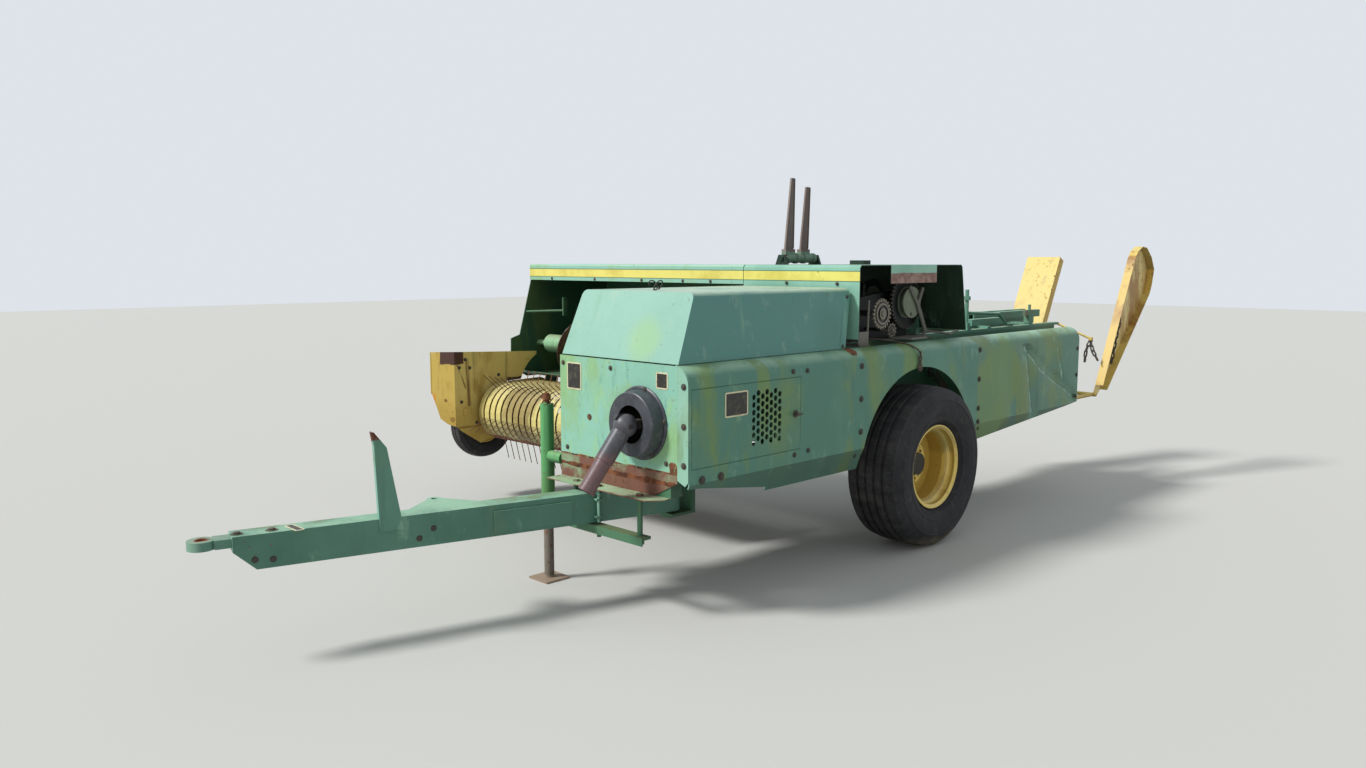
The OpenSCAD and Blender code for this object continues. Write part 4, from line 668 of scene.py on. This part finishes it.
# The bale chamber: floor, walls and top of welded plate in dull green, polished inside by the
# bales, with the tension rails, their cranks and the hoop handle over its rear end.
chamber_green = enamel("chamber_green", "35604A", "4E8064", "7E9A78", "5C6E40",
                       chips=0.6, streaks=0.5, rough=0.55).material
dress(chamber_green, "chamber_floor", "chamber_left_wall", "chamber_right_wall")
deck = enamel("deck_green", "4C7F6C", "78AC95", "86A287", "6B7A48", chips=0.8, streaks=0.5, rough=0.58)
on_rod = deck.both(deck.within("X", 0.105, 0.205), deck.over(deck.spot["Z"], 1.0125, 1.0135))
deck.repaint(on_rod, "77746A")
dress(deck.material, "chamber_top")
rail_green = enamel("rail_green", "4A7F6C", "6FA58E", "8CB59A", "6B5A40",
                    chips=0.6, streaks=0.5, rough=0.52).material
dress(rail_green, "tension_rails")
box_green = enamel("box_green", "4C7F6C", "78AC95", "7C9A80", "7C8A50",
                   chips=0.6, streaks=0.5, rough=0.55).material
dress(box_green, "twine_box")


# The knotter cover is a folded sheet, mint outside with the yellow stripe along its front, and painted near
# black inside for the shade under it. A lip with a rusty edge is turned down along its open side.
STRIPE = (1.320, 1.363)  # from and to this height


def striped(n, from_x):
    """The pale yellow stripe with its thin dark borders, on the sheet that faces ahead."""
    ahead_face = n.both(n.over(n.facing["X"], 0.6, 0.8), n.over(n.spot["X"], from_x - 0.01, from_x))
    worn = n.over(n.noise(0.014, 6, 0.72), 0.66, 0.7)
    border = n.both(ahead_face, n.within("Z", STRIPE[0] - 0.004, STRIPE[1] + 0.004))
    band = n.both(n.both(ahead_face, n.within("Z", *STRIPE)), n.math("SUBTRACT", 1.0, worn))
    yellow = n.mix(n.over(n.noise(0.09, 5, 0.6), 0.4, 0.65), shade("EFE277"), shade("DCCB5E"))
    colour = n.mix(n.both(border, 0.8), n.coat, shade("2C5138"))
    n.coat = n.mix(band, colour, yellow)
    n.link(n.coat, n.shader.inputs["Base Color"])
    return n.material


# Painted shade: the cover's coat is near black for the shade inside it; the wall ahead and the lip are
# repainted below.
cover = enamel("cover_green", "14281F", "16301F", "85AF9B", "24402C", chips=0.4, streaks=0.3, rough=0.6)
LIP = (-0.345, 0.053)  # from and to this place along the machine
ahead_wall = cover.both(cover.over(cover.facing["X"], 0.5, 0.8), cover.over(cover.spot["X"], 0.27, 0.28))
outer = cover.both(cover.over(cover.spot["Y"], 1.172, 1.174), cover.over(cover.facing["Y"], 0.5, 0.8))
on_lip = cover.both(outer, cover.within("X", *LIP))
mint = cover.mix(cover.over(cover.noise(0.2, 5, 0.6), 0.4, 0.6), shade("86B9A4"), shade("96C6B0"))
brown = cover.mix(cover.over(cover.noise(0.02, 6, 0.7), 0.4, 0.6), shade("7A5A50"), shade("A08478"))
cover.coat = cover.mix(ahead_wall, cover.coat, mint)
upper = cover.over(cover.math("ADD", cover.spot["Z"], cover.both(cover.noise(0.05, 4), 0.012)), 1.358, 1.362)
cover.coat = cover.mix(on_lip, cover.coat, cover.mix(upper, brown, mint))
dress(striped(cover, 0.27), "knotter_cover")


# The knotters: cast frames, discs and levers in bare and painted iron, greasy and dusty, turned
# by a toothed wheel with an idler under it.
knotter = enamel("knotter_iron", "151816", "1D201E", "38362F", "141C16", chips=0.4, streaks=0.2, rough=0.6)
idler_ring = knotter.from_axle(AXLE_X + 0.117, 1.072)
levers = knotter.over(knotter.spot["Y"], SHIELD_Y - 0.2225, SHIELD_Y - 0.2215)
knotter.repaint(knotter.both(levers, 0.8), "8C8A80")
on_idler = knotter.both(knotter.over(knotter.spot["Y"], SHIELD_Y - 0.171, SHIELD_Y - 0.169),
                        knotter.over(idler_ring, 0.040, 0.038))
knotter.repaint(on_idler, "6E665A")
groove = knotter.both(knotter.over(idler_ring, 0.014, 0.016), knotter.over(idler_ring, 0.026, 0.024))
knotter.repaint(knotter.both(on_idler, groove), "23211F")
dress(knotter.material, "knotter_frame")
disc = enamel("disc_iron", "8B9681", "9CA38C", "8F8C78", "6E775F", chips=0.5, streaks=0.3, rough=0.45)
disc_ring = disc.from_axle(AXLE_X - 0.16, 1.2)
disc.repaint(disc.over(disc_ring, 0.079, 0.083), "17191A")
disc.repaint(disc.both(disc.over(disc_ring, 0.125, 0.129), 0.5), "6B665C")
dress(disc.material, "knotter_shaft")
gear = enamel("gear_iron", "8C8474", "968C7A", "9A8F7C", "6A5242", chips=0.6, streaks=0.2, rough=0.45)
gear_ring = gear.from_axle(AXLE_X + 0.205, 1.156)
for low, high, code in ((0.053, 0.061, "1F1E1C"), (0.0, 0.043, "2A2824"), (0.016, 0.027, "857C6C")):
    ring = gear.both(gear.over(gear_ring, low - 0.001, low), gear.over(gear_ring, high + 0.001, high))
    gear.repaint(ring, code)
dress(gear.material, "drive_sprocket")
dress(dark_iron.material, "needle_yoke")


# The feeder: a long folded hood with a turned lip, a back wall, a floor and an end panel, all
# painted sheet, with the stripe along the hood's front and small bolts under it.
feeder = enamel("feeder_green", "5D9684", "94C6B0", "A9C9B2", "8FB98A", chips=0.3, streaks=0.25, rough=0.42,
                blotches=0.6)
dress(striped(feeder, 0.2), "feeder_hood")
dull_green = enamel("dull_green", "2A4F38", "3A6646", "6C8A66", "4A6236",
                    chips=0.6, streaks=0.5, rough=0.6).material
dress(dull_green, "feeder_back_wall", "feeder_floor", "feeder_end_panel")
closure = add("cube", "feeder_end_closure", size=1, location=at(0.238, -2.5195, 1.3425),
              scale=(0.616, 0.005, 0.092))
finished(closure, dull_green, "chassis")
bolts("stripe_bolts", [at(0.5612, y, 1.307) for y in (-2.3, -1.9, -1.5, -1.178, -0.976, -0.47, -0.17)],
      AHEAD, 0.005)


# The auger: a steel tube in pale green with a welded spiral flight, rusty and polished at its rim,
# and the feeder fork above the hood, two long tapered tines clamped to a shaft.
auger = enamel("auger_coat", "6E9E76", "8FBF92", "9DB58C", "6E7A48", chips=0.5, streaks=0.4, rough=0.5)
from_tube = auger.over(auger.from_axle(AXLE_X + 0.5, 0.905), 0.057, 0.062)
rust = auger.mix(auger.over(auger.noise(0.02, 6, 0.7), 0.35, 0.65), shade("402A20"), shade("6A4A38"))
auger.link(auger.mix(from_tube, auger.coat, rust), auger.shader.inputs["Base Color"])
dress(auger.material, "auger")
fork = enamel("fork_iron", "6A5C58", "8E7E76", "8C8272", "6A5650", chips=0.7, streaks=0.3, rough=0.6)
clamp = fork.both(fork.over(fork.spot["Z"], 1.462, 1.455), fork.over(fork.noise(0.02, 6), 0.3, 0.5))
fork.repaint(clamp, "6F8C76")
dress(fork.material, "feeder_fork")
for k, (foot, tip) in enumerate(((at(0.297, -0.65, 1.475), at(0.292, -0.65, 1.822)),
                                 (at(0.179, -0.65, 1.475), at(0.167, -0.65, 1.783)))):
    wire("tine_rib_%d" % k, [foot, foot.lerp(tip, 0.5), tip], 0.0075, "fork")


# The pickup: two arms and a cross tube in worn yellow, the flared sheet at its right end with a
# rust patch and a bright edge, and the stripper bands, dented and rubbed between the tines.
pickup_yellow = enamel("pickup_yellow", "AE8B36", "D9B850", "C9B468", "8A6A30",
                       chips=0.9, streaks=0.6, rough=0.5).material
dress(pickup_yellow, "pickup_frame")
flare = enamel("flare_yellow", "DCC272", "C8AA50", "D8C680", "A8812F", chips=0.9, streaks=0.9, rough=0.5,
               edges=(("Z", 0.45, 0.014),),
               patches=((at(1.24, -2.45, 0.61), 0.02), (at(1.21, -2.41, 0.50), 0.016)))


def flare_over(axis, low, high, raggedness=None):
    """1 past a coordinate on the flare, with a ragged border if one is given."""
    place = flare.spot[axis]
    if raggedness is not None:
        place = flare.math("ADD", place, raggedness)
    return flare.over(place, low, high)


lower = flare_over("Z", 0.80, 0.60, flare.both(flare.noise(0.1, 5, 0.6), 0.25))
flare.repaint(flare.both(lower, 0.6), "A88730")
stain = flare.both(flare.over(flare.noise(0.045, 7, 0.7, flare.stretched((1, 1, 0.16))), 0.54, 0.68),
                   flare_over("X", 0.76, 0.90))
flare.repaint(flare.both(stain, 0.7), "6E4624")
ragged = flare.both(flare.math("SUBTRACT", flare.noise(0.03, 6, 0.7), 0.5), 0.03)
burnt = flare.both(flare_over("Z", 0.816, 0.822, ragged), flare.within("X", 0.885, 0.99, 0.004))
flare.repaint(flare.both(burnt, flare_over("Y", -1.266, -1.26, ragged)), "4A2C20")
for start, end, reach in (((0.929, 0.82), (0.874, 0.68), 0.009), ((0.862, 0.84), (0.852, 0.58), 0.018)):
    run = flare.both(flare.by_line(start, end, reach),
                     flare.over(flare.noise(0.016, 6, 0.7, flare.stretched((1, 1, 0.12))), 0.36, 0.54))
    flare.repaint(flare.both(run, 0.85), "6B3E20")
flare.repaint(flare.both(flare_over("Y", -1.292, -1.306, ragged), flare_over("Z", 0.66, 0.62)), "D08A22")
flare.repaint(flare.both(flare_over("Z", 0.722, 0.716, ragged), flare_over("X", 0.60, 0.57)), "5A3A28")
dress(flare.material, "pickup_flare")
bolts("flare_bolts", [at(x, -2.3915, z) for x, z in ((1.17, 0.80), (1.13, 0.845), (1.10, 0.795),
                                                    (1.16, 0.60), (1.06, 0.47), (0.90, 0.74))],
      LEFT, 0.006, "pickup")
band_yellow = enamel("band_yellow", "C8B066", "D9C97C", "D2C488", "8A7440",
                     chips=0.5, streaks=0.7, rough=0.42, edges=(("Z", 0.38, 0.05),)).material
dress(band_yellow, "pickup_bands")
tine_rust = enamel("tine_rust", "6A4630", "8A5C38", "7A5A40", "50342A",
                   chips=1.0, streaks=0.2, rough=0.6).material
dress(tine_rust, "pickup_reel")


# The wheels: pressed steel rims in yellow, with painted shade and grease in the well, on grey hubs.
def rim_paint(name, centre, radius, face, side):
    """Yellow enamel, bright on the flange, with painted shade in the groove, the well and a ring further in,
    oily and rust-stained patches, and near black painted shade over the middle.
    """
    n = enamel(name, "F8DC7C", "F4D674", "E2CA80", "D2AE54", chips=0.5, streaks=0.3, rough=0.4, blotches=0.6)
    uneven = n.both(n.math("SUBTRACT", n.noise(0.03, 6, 0.65), 0.5), 0.012)
    ragged = n.math("ADD", n.from_axle(*centre), uneven)
    depth = n.both(n.math("SUBTRACT", face, n.spot["Y"]), side)
    groove = n.both(n.over(depth, 0.009, 0.013), n.over(depth, 0.024, 0.02))
    well = n.both(n.over(depth, 0.07, 0.076), n.over(ragged, 0.53 * radius, 0.57 * radius))
    # Painted shade: darker yellow in the groove by the flange and in the well.
    n.repaint(n.both(n.math("MAXIMUM", groove, well), 0.75), "B08C34")
    # Painted shade: a dark ring at the fold in the well.
    n.repaint(n.both(n.both(n.over(depth, 0.046, 0.048), n.over(depth, 0.052, 0.05)), 0.6), "5A4420")
    greasy = n.both(n.over(n.noise(0.02, 7, 0.7), 0.5, 0.62), n.over(ragged, 0.58 * radius, 0.5 * radius))
    n.repaint(n.both(greasy, 0.8), "5A4628")
    # Painted shade: near black over the middle, round the hub's opening.
    n.repaint(n.both(n.over(ragged, 0.345 * radius, 0.33 * radius), 0.9), "2A2620")
    return n.material


dress(rim_paint("left_rim_yellow", (AXLE_X, 0.4), 0.208, 1.262, 1), "left_rim")
dress(rim_paint("right_rim_yellow", (AXLE_X, 0.35), 0.188, -1.179, -1), "right_rim")
dress(rim_paint("gauge_rim_yellow", (0.694, 0.44), 0.108, -1.314, -1), "gauge_rim")
hub_iron = enamel("hub_iron", "2B2823", "38332B", "4E463A", "2A2620",
                  chips=0.6, streaks=0.3, rough=0.55).material
dress(hub_iron, "left_hub", "right_hub")


# The tyres are ribbed implement tyres, worn and dusty: each is a section with ribs, grooves, a
# rounded shoulder and ringed walls, drawn point by point and spun round its axle.
def spun(name, section, middle, steps):
    """A closed section of (radius, offset) points, drawn round and spun about the axle."""
    piece = add("plane", name, size=0.01, location=middle)
    bpy.ops.object.transform_apply()
    bpy.ops.object.mode_set(mode="EDIT")
    bpy.ops.mesh.select_mode(type="VERT")
    bpy.ops.mesh.select_all(action="SELECT")
    bpy.ops.mesh.merge(type="CENTER")
    bpy.ops.transform.translate(value=(0, section[0][1], section[0][0]))
    for (r0, y0), (r1, y1) in zip(section, section[1:]):
        bpy.ops.mesh.extrude_vertices_move(TRANSFORM_OT_translate={"value": (0, y1 - y0, r1 - r0)})
    bpy.ops.mesh.select_all(action="SELECT")
    bpy.ops.mesh.spin(steps=steps, angle=2 * math.pi, center=middle, axis=(0, 1, 0))
    bpy.ops.mesh.select_all(action="SELECT")
    bpy.ops.mesh.remove_doubles(threshold=0.00005)
    bpy.ops.mesh.normals_make_consistent(inside=False)
    return piece


# The wall from the bead's heel to the tread's shoulder, as shares of its height and of the tyre's
# width: it bulges, with a raised ring near the rim and a fine rib under the shoulder.
WALL = ((0.17, 0.42), (0.30, 0.468), (0.325, 0.477), (0.335, 0.471), (0.52, 0.497), (0.66, 0.488),
        (0.672, 0.495), (0.70, 0.492), (0.712, 0.483), (0.80, 0.468), (0.88, 0.44), (0.935, 0.41))
TREAD_HALF = 0.37  # a share of the width
CROWN_DROP = 0.05  # a share of the wall's height
CASING = 0.018  # metres


def tyre_section(radius, width, seat, seat_width, ribs, groove, sag):
    """Half the wall from the bead out, the ribbed tread across, the other wall and the lining."""
    tall, bead = radius - seat, seat_width / 2
    tread_half = TREAD_HALF * width

    def crown(y, sunk=0.0):
        return radius - CROWN_DROP * tall * abs(y / tread_half) ** 2.6 - sunk, y

    wall = [(seat, bead), (seat + 0.006, bead + 0.004), (seat + 0.016, bead + 0.002)]
    wall += [(seat + up * tall, out * width) for up, out in WALL]
    tread = [crown(tread_half)]
    pitch = 2 * tread_half / ribs
    lip, depth = groove / 2, 0.045 * tall + 0.003
    for k in range(1, ribs):
        y = tread_half - k * pitch
        floor_of_groove = crown(y, depth)[0]
        tread += [crown(y + pitch / 2), crown(y + lip + 0.002), (crown(y, 0.002)[0], y + lip),
                  (floor_of_groove, y + 0.3 * groove), (floor_of_groove, y - 0.3 * groove),
                  (crown(y, 0.002)[0], y - lip), crown(y - lip - 0.002)]
    tread += [crown(-tread_half + pitch / 2), crown(-tread_half)]
    lining = [(seat, -bead + 0.016), (seat + 0.4 * tall, -width / 2 + CASING), (radius - 0.03, -0.34 * width)]
    lining += [(r, -y) for r, y in reversed(lining)]
    around = wall + tread + [(r, -y) for r, y in reversed(wall)] + lining + [wall[0]]
    return [(r, y - sag * min(1, max(0, (r - seat) / (0.3 * tall)))) for r, y in around]


def rubber(name, centre, radius):
    """Old rubber: near black, greyer and dusty on the tread, crazed along the walls."""
    n = Nodes(name)
    across = n.from_axle(*centre)
    tone = n.mix(n.over(n.noise(0.07, 6, 0.65, warp=0.5), 0.35, 0.65), shade("1B1B1E"), shade("2A2A2D"))
    worn = n.both(n.over(across, 0.93 * radius, 0.985 * radius),
                  n.over(n.noise(0.03, 7, 0.7, n.stretched((1, 0.3, 1))), 0.42, 0.66))
    colour = n.mix(n.both(worn, 0.55), tone, shade("4E4B47"))
    dust = n.both(n.over(n.noise(0.02, 7, 0.72), 0.52, 0.76), 0.35)
    colour = n.mix(dust, colour, shade("6B6456"))
    soil = n.both(n.over(n.math("ADD", n.spot["Z"], n.both(n.noise(0.04, 6, 0.7), -0.12)), 0.02, -0.05), 0.6)
    n.link(n.mix(soil, colour, shade("75694F")), n.shader.inputs["Base Color"])
    n.shader.inputs["Roughness"].default_value = 0.78
    craze = n.both(n.over(n.noise(0.008, 6, 0.7, n.stretched((1, 0.35, 1))), 0.4, 0.6), 0.7)
    n.bump(n.math("ADD", craze, n.both(n.noise(0.002, 4), 0.3)), 0.001)
    return n.material


for side, middle, radius, width, seat, seat_width, ribs, groove, sag, body in (
        ("left", at(0, -0.067, 0.4), 0.4, 0.312, 0.1983, 0.19, 5, 0.017, 0.018, "left_wheel"),
        ("right", at(0, -2.33, 0.35), 0.35, 0.23, 0.1783, 0.134, 5, 0.012, 0, "right_wheel"),
        ("gauge", at(0.95, -2.5, 0.44), 0.2, 0.096, 0.0983, 0.064, 3, 0.006, 0, "gauge_wheel")):
    section = tyre_section(radius, width, seat, seat_width, ribs, groove, sag)
    tyre = spun(side + "_tyre_ribbed", section, middle, 120)
    finished(tyre, rubber(side + "_rubber", (middle.x, middle.z), radius), body, 35)
    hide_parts(side + "_tyre")


# The chute at the rear: a hinge rod on bars, and two flanged pans folded up, held by the chain.
# Pale yellow enamel, worn to rust along the rims.
chute_yellow = enamel("chute_yellow", "C9A950", "E0C564", "E0CB74", "9A6A38",
                      chips=0.9, streaks=0.7, rough=0.5).material
dress(chute_yellow, "chute_floor_pan", "chute_carrier")
bracket = enamel("bracket_yellow", "C9A950", "DCC064", "E0CB74", "9A6A38", chips=0.9, streaks=0.7, rough=0.5)
bracket.repaint(bracket.over(bracket.spot["Z"], 0.914, 0.910), "4A443C")
dress(bracket.material, "chain_bracket")
pan_yellow = enamel("pan_yellow", "E2CC8C", "DAB658", "E0CB74", "96622F",
                    chips=1.0, streaks=0.8, rough=0.5).material
dress(pan_yellow, "chute_side_pan")
dress(dark_iron.material, "pan_chain")
